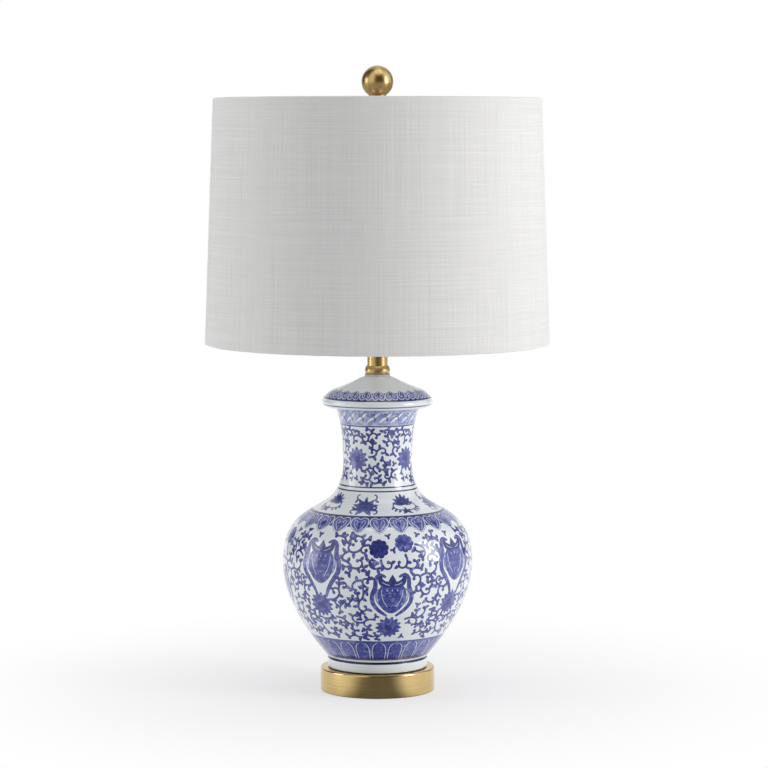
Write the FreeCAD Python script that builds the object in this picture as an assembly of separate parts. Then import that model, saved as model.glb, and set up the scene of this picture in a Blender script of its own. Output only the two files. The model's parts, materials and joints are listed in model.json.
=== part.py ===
"""Ginger jar table lamp with a drum shade.

A turned brass pan carries a hollow porcelain jar and its lid. One threaded rod runs up
the middle: a locknut under the pan and the socket cap above the neck clamp the stack.
The harp stands in a saddle under the socket and its top stud carries the shade's spider,
which the ball finial holds down. The supply cord is not part of the model: only the
grommet that it enters by is here.

Millimetres, +Z up, origin on the table under the lamp's axis. The back, with the cord's
grommet, is +Y; the switch key points to the front, -Y; the harp lies in the XZ plane.
"""

import FreeCAD, Part  # noqa: E401
import math
import os

from FreeCAD import Vector

os.makedirs("parts", exist_ok=True)

# ---------------------------------------------------------------- driving dimensions
# Clearances
SLIP = 0.08  # radial gap of a part that slides or turns on another
LOOSE = 0.35  # radial gap of a part that is only threaded over the rod
CLEAR = 0.30  # gap between neighbours that must not touch

# Base pan, its felt pad and the cord's grommet
BASE_R = 63.0
BASE_H = 25.4
PAN_WALL = 1.2
PAN_EDGE = 1.6  # rounding of the pan's top edge
FELT_T = 0.6
FELT_INSET = 0.4  # how far the felt stays inside the pan's edge
BOARD_T = 2.0
GROMMET_Z = 12.5
GROMMET_BORE_R = 3.6
GROMMET_NECK_R = 6.2
GROMMET_FLANGE_R = 8.2
GROMMET_FLANGE_T = 1.8
GROMMET_LIP_R = 7.2
GROMMET_LIP_T = 1.5

# Threaded rod and its nut and washer
ROD_R = 4.8
ROD_BORE_R = 3.1
ROD_TAIL = 3.5  # thread showing below the locknut
ROD_IN_SOCKET = 9.0  # thread inside the socket cap
BUSHING_R = 6.4
BUSHING_T = 1.8
BUSHING_WALL = 0.7
BUSHING_SPIGOT_H = 5.0
WASHER_R = 16.0
WASHER_T = 1.6
NUT_FLATS = 15.9  # across the flats
NUT_T = 4.8

# Porcelain jar: heights are measured up from its foot
GASKET_T = 1.0
GASKET_W = 6.0
JAR_H = 288.1
JAR_WALL = 5.0
FOOT_R = 55.3
FOOT_H = 10.6
FOOT_EDGE = 1.2
FOOT_RIM_W = 8.5  # width of the ring that the jar stands on
FOOT_HOLLOW = 5.0  # depth of the recess under the floor
FLOOR_T = 6.5
FLOOR_HOLE_R = 6.5
WAIST_R = 54.6  # the narrow line above the foot
WAIST_STEP = 0.9
FLANK_R, FLANK_H = 80.8, 46.2
BELLY_R, BELLY_H = 104.7, 114.2
CREST_R, CREST_H = 92.6, 158.6
SLOPE_R, SLOPE_H = 69.6, 176.4
COVE_R, COVE_H = 49.4, 190.4
NECK_FOOT_R, NECK_FOOT_H = 40.0, 209.6
NECK_R, NECK_WAIST_H = 38.3, 239.6
FLARE_R, FLARE_H = 40.6, 266.2
MOUTH_R = 46.4
MOUTH_LIP_W = 8.4

# Porcelain lid: heights are measured up from the jar's mouth
LID_H = 33.0
LID_WALL = 5.0
LID_BEAD_R = 60.8
LID_BEAD_FOOT_R = 56.7
LID_BEAD_TOP_R = 58.3
LID_BEAD_H = 10.5
LID_LAND_R = 14.6
LID_SPIGOT_H = 6.0
LID_SPIGOT_W = 5.0
DOME_OUT_R, DOME_OUT_H = 52.0, 16.4
DOME_MID_R, DOME_MID_H = 41.0, 21.4
DOME_IN_R, DOME_IN_H = 29.7, 26.0
DOME_TOP_R, DOME_TOP_H = 21.3, 30.2

# Neck: soft washer, bead and spacer tube
SEAT_R = 13.9
SEAT_T = 2.5
BEAD_R = 13.8
BEAD_FOOT_R = 12.4
BEAD_TOP_R = 11.7
BEAD_H = 9.2
TUBE_R = 11.2
TUBE_WALL = 1.0
TUBE_H = 36.0
TUBE_CAP_T = 1.8
TUBE_CAP_LIP = 1.3

# Harp saddle, harp and its ferrules
SADDLE_T = 1.6
SADDLE_W = 14.0
SADDLE_TAB_W = 4.4
SADDLE_TAB_H = 21.0
SADDLE_BEND_R = 7.0
HARP_LEG_X = 25.0
HARP_WIRE_R = 1.9
HARP_WIDE_X = 57.0
HARP_SWELL = 80.0  # height over which the legs swing out
HARP_H = 238.4  # from the saddle's top to the shade's seat
HARP_SHOULDER_DEG = 35.0
FERRULE_R = 4.4
FERRULE_H = 24.0
FERRULE_LIP = 3.0
FERRULE_WALL = 0.9
FERRULE_TRAVEL = 16.0
HARP_BOSS_R = 7.5
HARP_BOSS_H = 8.0
STUD_R = 3.15
STUD_H = 14.0

# Lamp holder
CAP_R = 17.4
CAP_H = 20.0
CAP_WALL = 0.8
CAP_ROUND = 6.0
SHELL_WALL = 0.6
SHELL_H = 46.5
SHELL_IN_CAP = 9.0
LINER_WALL = 0.8
LINER_SHORT = 3.0  # how far the liner's top stays below the shell's
CORE_H = 17.0
SCREW_SHELL_R = 13.05  # inside the crests, clear of the lamp's thread
SCREW_SHELL_WALL = 0.45
SCREW_SHELL_H = 24.0
CONTACT_R = 4.0
CONTACT_T = 1.2
TERMINAL_R = 2.6
TERMINAL_H = 1.1
KEY_Z_IN_CORE = 11.5
SPINDLE_R = 2.2
KEY_HUB_R = 4.2
KEY_HUB_L = 5.0
KEY_W = 17.0
KEY_T = 4.0
KEY_L = 11.0
KEY_STANDOFF = 4.0

# Lamp bulb with a medium screw base
THREAD_R = 12.95
THREAD_DEPTH = 0.75
THREAD_PITCH = 3.63
THREAD_TURNS = 5
BULB_TIP_R = 4.6
BULB_TIP_H = 3.2
BULB_COLLAR_R = 13.9
BULB_HOUSING_H = 35.0
BULB_HOUSING_R = 28.6
BULB_GLOBE_R = 30.0
BULB_GLOBE_H = 48.0
BULB_WALL = 1.2

# Shade
SHADE_TOP_R = 179.3
SHADE_BOTTOM_R = 189.2
SHADE_H = 267.0
SHADE_ABOVE_SEAT = 14.0  # the shade's top edge above the spider's seat
CLOTH_T = 0.8
LINING_T = 0.6
RING_WIRE_R = 1.6
HEM_T = 0.6
HEM_H = 10.0
SPIDER_ARMS = 3
SPIDER_WASHER_R = 13.5
SPIDER_WASHER_T = 1.6
SPIDER_WIRE_R = 1.6
SPIDER_FLAT = 6.0

# Ball finial
FINIAL_R = 17.4
FINIAL_WALL = 1.6
COLLAR_R = 9.4
COLLAR_H = 16.4
COLLAR_WAIST_R = 7.6
COLLAR_BAND_H = 3.2
FINIAL_SPIGOT_R = 5.5
FINIAL_SPIGOT_H = 3.5

# ---------------------------------------------------------------- heights of the stack
ROOF_Z = BASE_H - PAN_WALL
FOOT_Z = BASE_H + GASKET_T
MOUTH_Z = FOOT_Z + JAR_H
LID_TOP_Z = MOUTH_Z + LID_H
SEAT_TOP_Z = LID_TOP_Z + SEAT_T
BEAD_TOP_Z = SEAT_TOP_Z + BEAD_H
TUBE_TOP_Z = BEAD_TOP_Z + TUBE_H
SADDLE_Z = TUBE_TOP_Z + TUBE_CAP_T
CAP_Z = SADDLE_Z + SADDLE_T
ROD_TOP_Z = CAP_Z + ROD_IN_SOCKET
SHELL_Z = CAP_Z + CAP_H - SHELL_IN_CAP
SHELL_TOP_Z = SHELL_Z + SHELL_H
CORE_Z = ROD_TOP_Z + BUSHING_T
CORE_TOP_Z = CORE_Z + CORE_H
KEY_Z = CORE_Z + KEY_Z_IN_CORE
BULB_Z = CORE_TOP_Z + CONTACT_T
BULB_COLLAR_Z = BULB_Z + BULB_TIP_H + THREAD_PITCH * (THREAD_TURNS + 1)
HARP_TOP_Z = CAP_Z + HARP_H
SPIDER_TOP_Z = HARP_TOP_Z + SPIDER_WASHER_T
FERRULE_Z = SADDLE_Z + SADDLE_BEND_R + CLEAR
LEG_LOW_Z = CAP_Z + SADDLE_TAB_H + CLEAR
LEG_TOP_Z = FERRULE_Z + FERRULE_H + FERRULE_TRAVEL + FERRULE_LIP
SHADE_TOP_Z = HARP_TOP_Z + SHADE_ABOVE_SEAT
SHADE_BOTTOM_Z = SHADE_TOP_Z - SHADE_H
COLLAR_TOP_Z = SPIDER_TOP_Z + COLLAR_H

# radii of what fits inside what
SHELL_R = CAP_R - CAP_WALL
LINER_R = SHELL_R - SHELL_WALL
CORE_R = LINER_R - LINER_WALL - SLIP

AXIS = Vector(0, 0, 1)
ORIGIN = Vector(0, 0, 0)


# ---------------------------------------------------------------- helpers
def at(radius, height):
    """A point of a turned outline."""
    return Vector(radius, 0, height)


def line(a, b):
    return Part.LineSegment(a, b).toShape()


def arc(a, through, b):
    return Part.Arc(a, through, b).toShape()


def curve(points):
    """A smooth curve through the points."""
    spline = Part.BSplineCurve()
    spline.interpolate(Points=points)
    return spline


def turned(edges):
    """The solid that a closed outline sweeps round the lamp's axis."""
    return Part.Face(Part.Wire(edges)).revolve(ORIGIN, AXIS, 360)


def turned_polygon(*corners):
    points = [at(r, z) for r, z in corners]
    return turned([line(a, b) for a, b in zip(points, points[1:] + points[:1])])


def ring(outer_r, inner_r, low, high):
    """A flat ring or tube about the axis."""
    return turned_polygon((inner_r, low), (outer_r, low), (outer_r, high), (inner_r, high))


def rounded_corner(centre_r, centre_z, radius, start_deg, end_deg):
    """An arc of an outline, by its centre and the directions it runs between."""
    def point(degrees):
        a = math.radians(degrees)
        return at(centre_r + radius * math.cos(a), centre_z + radius * math.sin(a))

    return arc(point(start_deg), point((start_deg + end_deg) / 2), point(end_deg))


def cylinder(radius, length, start, direction):
    return Part.makeCylinder(radius, length, start, direction)


def box_about(size_x, size_y, size_z, centre):
    corner = centre - Vector(size_x, size_y, size_z) * 0.5
    return Part.makeBox(size_x, size_y, size_z, corner)


def offset_inward(spline, distance, height_from, height_to):
    """Points of the spline between two heights, moved towards the axis along its normals."""
    count = 24
    points = []
    for i in range(count + 1):
        u = spline.FirstParameter + (spline.LastParameter - spline.FirstParameter) * i / count
        p = spline.value(u)
        t = spline.tangent(u)[0]
        inner = Vector(p.x - distance * t.z, 0, p.z + distance * t.x)
        if height_from < inner.z < height_to:
            points.append(inner)
    return points


def radius_of(spline, height):
    """The spline's radius at a height, for an outline that only climbs or only falls."""
    low, high = spline.FirstParameter, spline.LastParameter
    climbs = spline.value(high).z > spline.value(low).z
    for _ in range(50):
        middle = (low + high) / 2
        if (spline.value(middle).z < height) == climbs:
            low = middle
        else:
            high = middle
    return spline.value(low).x


# ---------------------------------------------------------------- base
def base_pan():
    """Spun brass pan, open below, with a hole for the rod and one for the grommet."""
    outer_r, top, low = BASE_R, BASE_H, FELT_T
    inner_r, roof = outer_r - PAN_WALL, ROOF_Z
    edge_in = max(PAN_EDGE - PAN_WALL, 0.2)
    hole_r = ROD_R + LOOSE
    pan = turned([
        line(at(inner_r, low), at(outer_r, low)),
        line(at(outer_r, low), at(outer_r, top - PAN_EDGE)),
        rounded_corner(outer_r - PAN_EDGE, top - PAN_EDGE, PAN_EDGE, 0, 90),
        line(at(outer_r - PAN_EDGE, top), at(hole_r, top)),
        line(at(hole_r, top), at(hole_r, roof)),
        line(at(hole_r, roof), at(inner_r - edge_in, roof)),
        rounded_corner(inner_r - edge_in, roof - edge_in, edge_in, 90, 0),
        line(at(inner_r, roof - edge_in), at(inner_r, low)),
    ])
    hole = cylinder(GROMMET_NECK_R + SLIP, 4 * PAN_WALL,
                    Vector(0, outer_r - 2 * PAN_WALL, GROMMET_Z), Vector(0, 1, 0))
    return pan.cut(hole)


def base_felt():
    """Felt sheet under the pan's rim and the board: the lamp rests on it."""
    return Part.makeCylinder(BASE_R - FELT_INSET, FELT_T)


def base_board():
    """Fibre board that closes the pan's mouth."""
    return Part.makeCylinder(BASE_R - PAN_WALL - SLIP, BOARD_T, Vector(0, 0, FELT_T))


def grommet_lip_y():
    """Where the inner lip's front face clears the curve of the pan's inner wall."""
    return math.sqrt((BASE_R - PAN_WALL) ** 2 - GROMMET_LIP_R ** 2)


def cord_grommet():
    """Snap bushing in the pan's back wall, where the supply cord enters."""
    back = Vector(0, 1, 0)
    lip_y = grommet_lip_y()
    lip = cylinder(GROMMET_LIP_R, GROMMET_LIP_T, Vector(0, lip_y - GROMMET_LIP_T, GROMMET_Z), back)
    neck = cylinder(GROMMET_NECK_R, BASE_R - lip_y, Vector(0, lip_y, GROMMET_Z), back)
    flange = cylinder(GROMMET_FLANGE_R, GROMMET_FLANGE_T, Vector(0, BASE_R, GROMMET_Z), back)
    rounding = GROMMET_FLANGE_T / 3
    rim = [e for e in flange.Edges
           if e.Length > 5 * GROMMET_FLANGE_R and e.BoundBox.YMin > BASE_R + rounding]
    flange = flange.makeFillet(rounding, rim)
    bore = cylinder(GROMMET_BORE_R, 4 * GROMMET_FLANGE_R,
                    Vector(0, BASE_R - 2 * GROMMET_FLANGE_R, GROMMET_Z), back)
    return lip.fuse(neck).fuse(flange).removeSplitter().cut(bore)


def base_washer():
    return ring(WASHER_R, ROD_R + LOOSE, ROOF_Z - WASHER_T, ROOF_Z)


def hexagon(across_flats, low, high):
    corner_r = across_flats / math.sqrt(3)
    corners = [Vector(corner_r * math.cos(math.radians(60 * i + 30)),
                      corner_r * math.sin(math.radians(60 * i + 30)), low) for i in range(6)]
    face = Part.Face(Part.makePolygon(corners + corners[:1]))
    return face.extrude(Vector(0, 0, high - low))


def base_locknut():
    """Hexagon locknut that draws the whole stack together from below."""
    top = ROOF_Z - WASHER_T
    nut = hexagon(NUT_FLATS, top - NUT_T, top)
    corner_r, low = NUT_FLATS / math.sqrt(3), top - NUT_T
    bevel = corner_r - NUT_FLATS / 2
    chamfered = turned_polygon(
        (0, low), (corner_r - bevel, low), (corner_r, low + bevel / 2), (corner_r, top), (0, top))
    bore = cylinder(ROD_R, NUT_T, Vector(0, 0, top - NUT_T), AXIS)
    return nut.common(chamfered).cut(bore)


def threaded_rod():
    """Hollow rod from the base to the lamp holder; the cord's wires run up its bore."""
    low = ROOF_Z - WASHER_T - NUT_T - ROD_TAIL
    return ring(ROD_R, ROD_BORE_R, low, ROD_TOP_Z)


def rod_bushing():
    """Flanged bushing in the rod's top, that the wires come out through."""
    spigot_r = ROD_BORE_R - SLIP
    hole_r = spigot_r - BUSHING_WALL
    low, top = ROD_TOP_Z - BUSHING_SPIGOT_H, ROD_TOP_Z + BUSHING_T
    return turned_polygon((hole_r, low), (spigot_r, low), (spigot_r, ROD_TOP_Z),
                          (BUSHING_R, ROD_TOP_Z), (BUSHING_R, top), (hole_r, top))


# ---------------------------------------------------------------- jar and lid
def foot_gasket():
    """Thin felt ring between the glazed foot and the brass."""
    outer_r = FOOT_R - FOOT_EDGE
    return ring(outer_r, outer_r - GASKET_W, BASE_H, FOOT_Z)


def jar_outline():
    """The jar's outside from the waist above its foot up to its mouth."""
    stations = [
        (WAIST_R, FOOT_H + WAIST_STEP), (FLANK_R, FLANK_H), (BELLY_R, BELLY_H),
        (CREST_R, CREST_H), (SLOPE_R, SLOPE_H), (COVE_R, COVE_H),
        (NECK_FOOT_R, NECK_FOOT_H), (NECK_R, NECK_WAIST_H), (FLARE_R, FLARE_H),
        (MOUTH_R, JAR_H),
    ]
    return curve([at(r, FOOT_Z + h) for r, h in stations])


def jar_body():
    """Thrown porcelain jar: foot ring, round belly, sloped shoulder and flared neck."""
    outside = jar_outline()
    floor_low = FOOT_Z + FOOT_HOLLOW
    floor_top = floor_low + FLOOR_T
    rim_in = FOOT_R - FOOT_RIM_W
    lip_r = MOUTH_R - MOUTH_LIP_W
    first = at(radius_of(outside, max(floor_top, FOOT_Z + FOOT_H + WAIST_STEP)) - JAR_WALL, floor_top)
    bore_foot = at(lip_r, MOUTH_Z - LID_SPIGOT_H - JAR_WALL)
    inner = offset_inward(outside, JAR_WALL, floor_top + JAR_WALL, bore_foot.z - 2 * JAR_WALL)
    cavity = curve([first] + inner + [bore_foot])
    waist = at(WAIST_R, FOOT_Z + FOOT_H + WAIST_STEP)
    edge = FOOT_EDGE
    foot_top = FOOT_Z + FOOT_H
    return turned([
        line(at(rim_in, FOOT_Z), at(FOOT_R - edge, FOOT_Z)),
        rounded_corner(FOOT_R - edge, FOOT_Z + edge, edge, -90, 0),
        line(at(FOOT_R, FOOT_Z + edge), at(FOOT_R, foot_top - edge)),
        rounded_corner(FOOT_R - edge, foot_top - edge, edge, 0, 90),
        line(at(FOOT_R - edge, foot_top), waist),
        outside.toShape(),
        line(at(MOUTH_R, MOUTH_Z), at(lip_r, MOUTH_Z)),
        line(at(lip_r, MOUTH_Z), bore_foot),
        cavity.toShape(),
        line(first, at(FLOOR_HOLE_R, floor_top)),
        line(at(FLOOR_HOLE_R, floor_top), at(FLOOR_HOLE_R, floor_low)),
        line(at(FLOOR_HOLE_R, floor_low), at(rim_in, floor_low)),
        line(at(rim_in, floor_low), at(rim_in, FOOT_Z)),
    ])


def lid_outline():
    """The lid's dome from its top land down to the bead's top."""
    stations = [
        (LID_LAND_R, LID_H), (DOME_TOP_R, DOME_TOP_H), (DOME_IN_R, DOME_IN_H),
        (DOME_MID_R, DOME_MID_H), (DOME_OUT_R, DOME_OUT_H), (LID_BEAD_TOP_R, LID_BEAD_H),
    ]
    return curve([at(r, MOUTH_Z + h) for r, h in stations])


def jar_lid():
    """Porcelain lid: shallow dome, round bead and a spigot that drops into the mouth."""
    dome = lid_outline()
    hole_r = ROD_R + LOOSE
    spigot_r = MOUTH_R - MOUTH_LIP_W - LOOSE
    hollow_r = spigot_r - LID_SPIGOT_W
    spigot_low = MOUTH_Z - LID_SPIGOT_H
    roof = LID_TOP_Z - LID_WALL
    inner_points = [at(p.x - LID_WALL / 3, p.z - LID_WALL) for p in
                    (dome.value(dome.FirstParameter), at(DOME_TOP_R, MOUTH_Z + DOME_TOP_H),
                     at(DOME_IN_R, MOUTH_Z + DOME_IN_H))]
    side = at(hollow_r, MOUTH_Z + DOME_MID_H - LID_WALL)
    under = curve([inner_points[0], inner_points[1], inner_points[2], side])
    bead_middle = MOUTH_Z + LID_BEAD_H / 2
    return turned([
        line(at(hole_r, LID_TOP_Z), at(LID_LAND_R, LID_TOP_Z)),
        dome.toShape(),
        arc(at(LID_BEAD_TOP_R, MOUTH_Z + LID_BEAD_H), at(LID_BEAD_R, bead_middle),
            at(LID_BEAD_FOOT_R, MOUTH_Z)),
        line(at(LID_BEAD_FOOT_R, MOUTH_Z), at(spigot_r, MOUTH_Z)),
        line(at(spigot_r, MOUTH_Z), at(spigot_r, spigot_low)),
        line(at(spigot_r, spigot_low), at(hollow_r, spigot_low)),
        line(at(hollow_r, spigot_low), side),
        under.toShape(),
        line(inner_points[0], at(hole_r, roof)),
        line(at(hole_r, roof), at(hole_r, LID_TOP_Z)),
    ])


# ---------------------------------------------------------------- neck
def lid_washer():
    """Soft washer that keeps the metal off the glaze."""
    return ring(SEAT_R, ROD_R + LOOSE, LID_TOP_Z, SEAT_TOP_Z)


def neck_bead():
    """Turned brass bead, with a spigot that centres the spacer tube."""
    hole_r = ROD_R + LOOSE
    spigot_r = TUBE_R - TUBE_WALL - SLIP
    spigot_top = BEAD_TOP_Z + 3 * TUBE_WALL
    return turned([
        line(at(hole_r, SEAT_TOP_Z), at(BEAD_FOOT_R, SEAT_TOP_Z)),
        arc(at(BEAD_FOOT_R, SEAT_TOP_Z), at(BEAD_R, SEAT_TOP_Z + BEAD_H / 2), at(BEAD_TOP_R, BEAD_TOP_Z)),
        line(at(BEAD_TOP_R, BEAD_TOP_Z), at(spigot_r, BEAD_TOP_Z)),
        line(at(spigot_r, BEAD_TOP_Z), at(spigot_r, spigot_top)),
        line(at(spigot_r, spigot_top), at(hole_r, spigot_top)),
        line(at(hole_r, spigot_top), at(hole_r, SEAT_TOP_Z)),
    ])


def neck_tube():
    return ring(TUBE_R, TUBE_R - TUBE_WALL, BEAD_TOP_Z, TUBE_TOP_Z)


def neck_cap():
    """Flanged disc on the tube's top end, under the harp's saddle."""
    hole_r = ROD_R + LOOSE
    flange_r = TUBE_R + TUBE_CAP_LIP
    spigot_r = TUBE_R - TUBE_WALL - SLIP
    spigot_low = TUBE_TOP_Z - 3 * TUBE_WALL
    return turned_polygon(
        (hole_r, spigot_low), (spigot_r, spigot_low), (spigot_r, TUBE_TOP_Z),
        (flange_r, TUBE_TOP_Z), (flange_r, SADDLE_Z), (hole_r, SADDLE_Z))


# ---------------------------------------------------------------- harp
def harp_saddle():
    """Bent steel strip under the lamp holder; its two tabs take the harp's legs."""
    outer_x = HARP_LEG_X
    inner_x = outer_x - SADDLE_T
    bend = SADDLE_BEND_R
    tab_top = CAP_Z + SADDLE_TAB_H

    def section(sign):
        def p(x, z):
            return Vector(sign * x, -SADDLE_W / 2, z)
        turn = math.radians(-45)
        far = outer_x - bend
        near_bend = bend - SADDLE_T
        return [
            line(p(0, SADDLE_Z), p(far, SADDLE_Z)),
            Part.Arc(p(far, SADDLE_Z),
                     p(far + bend * math.cos(turn), SADDLE_Z + bend + bend * math.sin(turn)),
                     p(outer_x, SADDLE_Z + bend)).toShape(),
            line(p(outer_x, SADDLE_Z + bend), p(outer_x, tab_top)),
            line(p(outer_x, tab_top), p(inner_x, tab_top)),
            line(p(inner_x, tab_top), p(inner_x, SADDLE_Z + bend)),
            Part.Arc(p(inner_x, SADDLE_Z + bend),
                     p(far + near_bend * math.cos(turn), SADDLE_Z + bend + near_bend * math.sin(turn)),
                     p(far, CAP_Z)).toShape(),
            line(p(far, CAP_Z), p(0, CAP_Z)),
            line(p(0, CAP_Z), p(0, SADDLE_Z)),
        ]

    halves = [Part.Face(Part.Wire(section(s))).extrude(Vector(0, SADDLE_W, 0)) for s in (1, -1)]
    strip = halves[0].fuse(halves[1]).removeSplitter()
    # the strip narrows to a tab above its bends
    tab_low = SADDLE_Z + bend
    for x in (outer_x, -outer_x):
        for y in (1, -1):
            waste_w = SADDLE_W / 2
            centre = Vector(x, y * (SADDLE_TAB_W / 2 + waste_w / 2), (tab_low + tab_top) / 2)
            strip = strip.cut(box_about(3 * bend, waste_w, tab_top - tab_low, centre))
    return strip.cut(cylinder(ROD_R + LOOSE, 3 * SADDLE_T, Vector(0, 0, SADDLE_Z - SADDLE_T), AXIS))


def harp_path(sign):
    """Centre line of one half of the harp, from its leg's foot to the top boss."""
    def p(x, z):
        return Vector(sign * x, 0, z)
    leg_x = HARP_LEG_X
    wide_x = HARP_WIDE_X
    leg_low, leg_top = LEG_LOW_Z, LEG_TOP_Z
    swell_top = leg_top + HARP_SWELL
    # two equal arcs swing the leg out and back upright
    turn = 2 * math.atan((wide_x - leg_x) / HARP_SWELL)
    swing_r = HARP_SWELL / (2 * math.sin(turn))
    middle = p((leg_x + wide_x) / 2, (leg_top + swell_top) / 2)
    first = p(leg_x + swing_r * (1 - math.cos(turn / 2)), leg_top + swing_r * math.sin(turn / 2))
    second = p(wide_x - swing_r * (1 - math.cos(turn / 2)), swell_top - swing_r * math.sin(turn / 2))
    # a long and a short arc close the bow over to the boss
    crown_z = HARP_TOP_Z - HARP_BOSS_H / 2
    end_x = HARP_BOSS_R - HARP_WIRE_R
    rise, run = crown_z - swell_top, wide_x - end_x
    s, c = (f(math.radians(HARP_SHOULDER_DEG)) for f in (math.sin, math.cos))
    spread = (rise - run) / (s + c - 1)
    short_r = rise - spread * s
    long_r = short_r + spread
    long_c = (wide_x - long_r, swell_top)
    short_c = (long_c[0] + spread * c, long_c[1] + spread * s)

    def on(centre, radius, degrees):
        a = math.radians(degrees)
        return p(centre[0] + radius * math.cos(a), centre[1] + radius * math.sin(a))

    shoulder = HARP_SHOULDER_DEG
    return [
        line(p(leg_x, leg_low), p(leg_x, leg_top)),
        arc(p(leg_x, leg_top), first, middle),
        arc(middle, second, p(wide_x, swell_top)),
        arc(p(wide_x, swell_top), on(long_c, long_r, shoulder / 2), on(long_c, long_r, shoulder)),
        arc(on(short_c, short_r, shoulder), on(short_c, short_r, (90 + shoulder) / 2),
            on(short_c, short_r, 90)),
    ]


def harp_half(sign):
    """One side of the bow, with a flattened tongue that lies against the saddle's tab."""
    path = Part.Wire(harp_path(sign))
    start = Vector(sign * HARP_LEG_X, 0, LEG_LOW_Z)
    disc = Part.Wire(Part.Circle(start, AXIS, HARP_WIRE_R).toShape())
    bow = path.makePipeShell([disc], True, False)
    tongue_low, tongue_top = FERRULE_Z + CLEAR, LEG_LOW_Z + CLEAR
    tongue_t = HARP_WIRE_R
    tongue = box_about(tongue_t, SADDLE_TAB_W, tongue_top - tongue_low,
                       Vector(sign * (HARP_LEG_X + tongue_t / 2), 0, (tongue_low + tongue_top) / 2))
    return bow.fuse(tongue)


def harp_top():
    """Boss that joins the bow's two sides, with the threaded stud for the shade and finial."""
    low = HARP_TOP_Z - HARP_BOSS_H
    boss = Part.makeCylinder(HARP_BOSS_R, HARP_BOSS_H, Vector(0, 0, low))
    stud = turned_polygon((0, HARP_TOP_Z), (STUD_R, HARP_TOP_Z),
                          (STUD_R, HARP_TOP_Z + STUD_H - STUD_R / 3),
                          (STUD_R * 2 / 3, HARP_TOP_Z + STUD_H), (0, HARP_TOP_Z + STUD_H))
    return boss.fuse(stud)


def ferrule(sign):
    """Sliding sleeve that locks a leg of the harp to its tab; a lip at its top runs on the wire."""
    x = sign * HARP_LEG_X
    low = FERRULE_Z
    bore_r = FERRULE_R - FERRULE_WALL
    outside = Part.makeCylinder(FERRULE_R, FERRULE_H, Vector(x, 0, low))
    rims = [e for e in outside.Edges if e.Length > 3 * FERRULE_R and e.BoundBox.ZLength < SLIP]
    outside = outside.makeFillet(FERRULE_WALL * 0.6, rims)
    bore = Part.makeCylinder(bore_r, FERRULE_H - FERRULE_LIP, Vector(x, 0, low))
    guide = Part.makeCylinder(HARP_WIRE_R + SLIP, FERRULE_H, Vector(x, 0, low))
    return outside.cut(bore).cut(guide)


# ---------------------------------------------------------------- lamp holder
def socket_cap():
    """Spun brass cup screwed to the rod's top."""
    inner_r, inner_round = CAP_R - CAP_WALL, CAP_ROUND - CAP_WALL
    top, floor = CAP_Z + CAP_H, CAP_Z + CAP_WALL
    return turned([
        line(at(ROD_R, CAP_Z), at(CAP_R - CAP_ROUND, CAP_Z)),
        rounded_corner(CAP_R - CAP_ROUND, CAP_Z + CAP_ROUND, CAP_ROUND, -90, 0),
        line(at(CAP_R, CAP_Z + CAP_ROUND), at(CAP_R, top)),
        line(at(CAP_R, top), at(inner_r, top)),
        line(at(inner_r, top), at(inner_r, CAP_Z + CAP_ROUND)),
        rounded_corner(CAP_R - CAP_ROUND, CAP_Z + CAP_ROUND, inner_round, 0, -90),
        line(at(CAP_R - CAP_ROUND, floor), at(ROD_R, floor)),
        line(at(ROD_R, floor), at(ROD_R, CAP_Z)),
    ])


def key_hole(radius, length):
    """A hole towards the front for the switch's spindle."""
    return cylinder(radius, length, Vector(0, 0, KEY_Z), Vector(0, -1, 0))


def socket_shell():
    """Brass shell pushed into the cap, with the spindle's hole at the front."""
    shell = ring(SHELL_R, SHELL_R - SHELL_WALL, SHELL_Z, SHELL_TOP_Z)
    return shell.cut(key_hole(SPINDLE_R + CLEAR, 2 * SHELL_R))


def socket_liner():
    """Insulating sleeve between the shell and the live parts."""
    sleeve = ring(LINER_R, LINER_R - LINER_WALL, SHELL_Z, SHELL_TOP_Z - LINER_SHORT)
    return sleeve.cut(key_hole(SPINDLE_R + CLEAR, 2 * SHELL_R))


def socket_core():
    """Moulded switch body that carries the contacts and terminals."""
    core = Part.makeCylinder(CORE_R, CORE_H, Vector(0, 0, CORE_Z))
    core = core.cut(key_hole(SPINDLE_R + SLIP, 2 * CORE_R))
    for sign in (1, -1):
        core = core.cut(terminal_space(sign))
    return core


def terminal_space(sign):
    """The flat that a terminal screw sits on."""
    depth = TERMINAL_H + CLEAR
    centre = Vector(sign * (CORE_R - depth / 2), 0, CORE_Z + CORE_H / 3)
    return box_about(depth, 3 * TERMINAL_R, 3 * TERMINAL_R, centre)


def terminal_screws():
    """Two binding screws, one each side of the core, with slotted heads."""
    heads = []
    for sign in (1, -1):
        seat_x = CORE_R - TERMINAL_H - CLEAR
        head = cylinder(TERMINAL_R, TERMINAL_H, Vector(sign * seat_x, 0, CORE_Z + CORE_H / 3),
                        Vector(sign, 0, 0))
        slot = box_about(TERMINAL_H, 3 * TERMINAL_R, TERMINAL_R / 3,
                         Vector(sign * (seat_x + TERMINAL_H), 0, CORE_Z + CORE_H / 3))
        heads.append(head.cut(slot))
    return Part.makeCompound(heads)


def screw_shell():
    """Threaded sleeve that the lamp bulb turns into, standing on the core."""
    return grooved_tube(SCREW_SHELL_R, SCREW_SHELL_WALL, CORE_TOP_Z, SCREW_SHELL_H)


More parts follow.
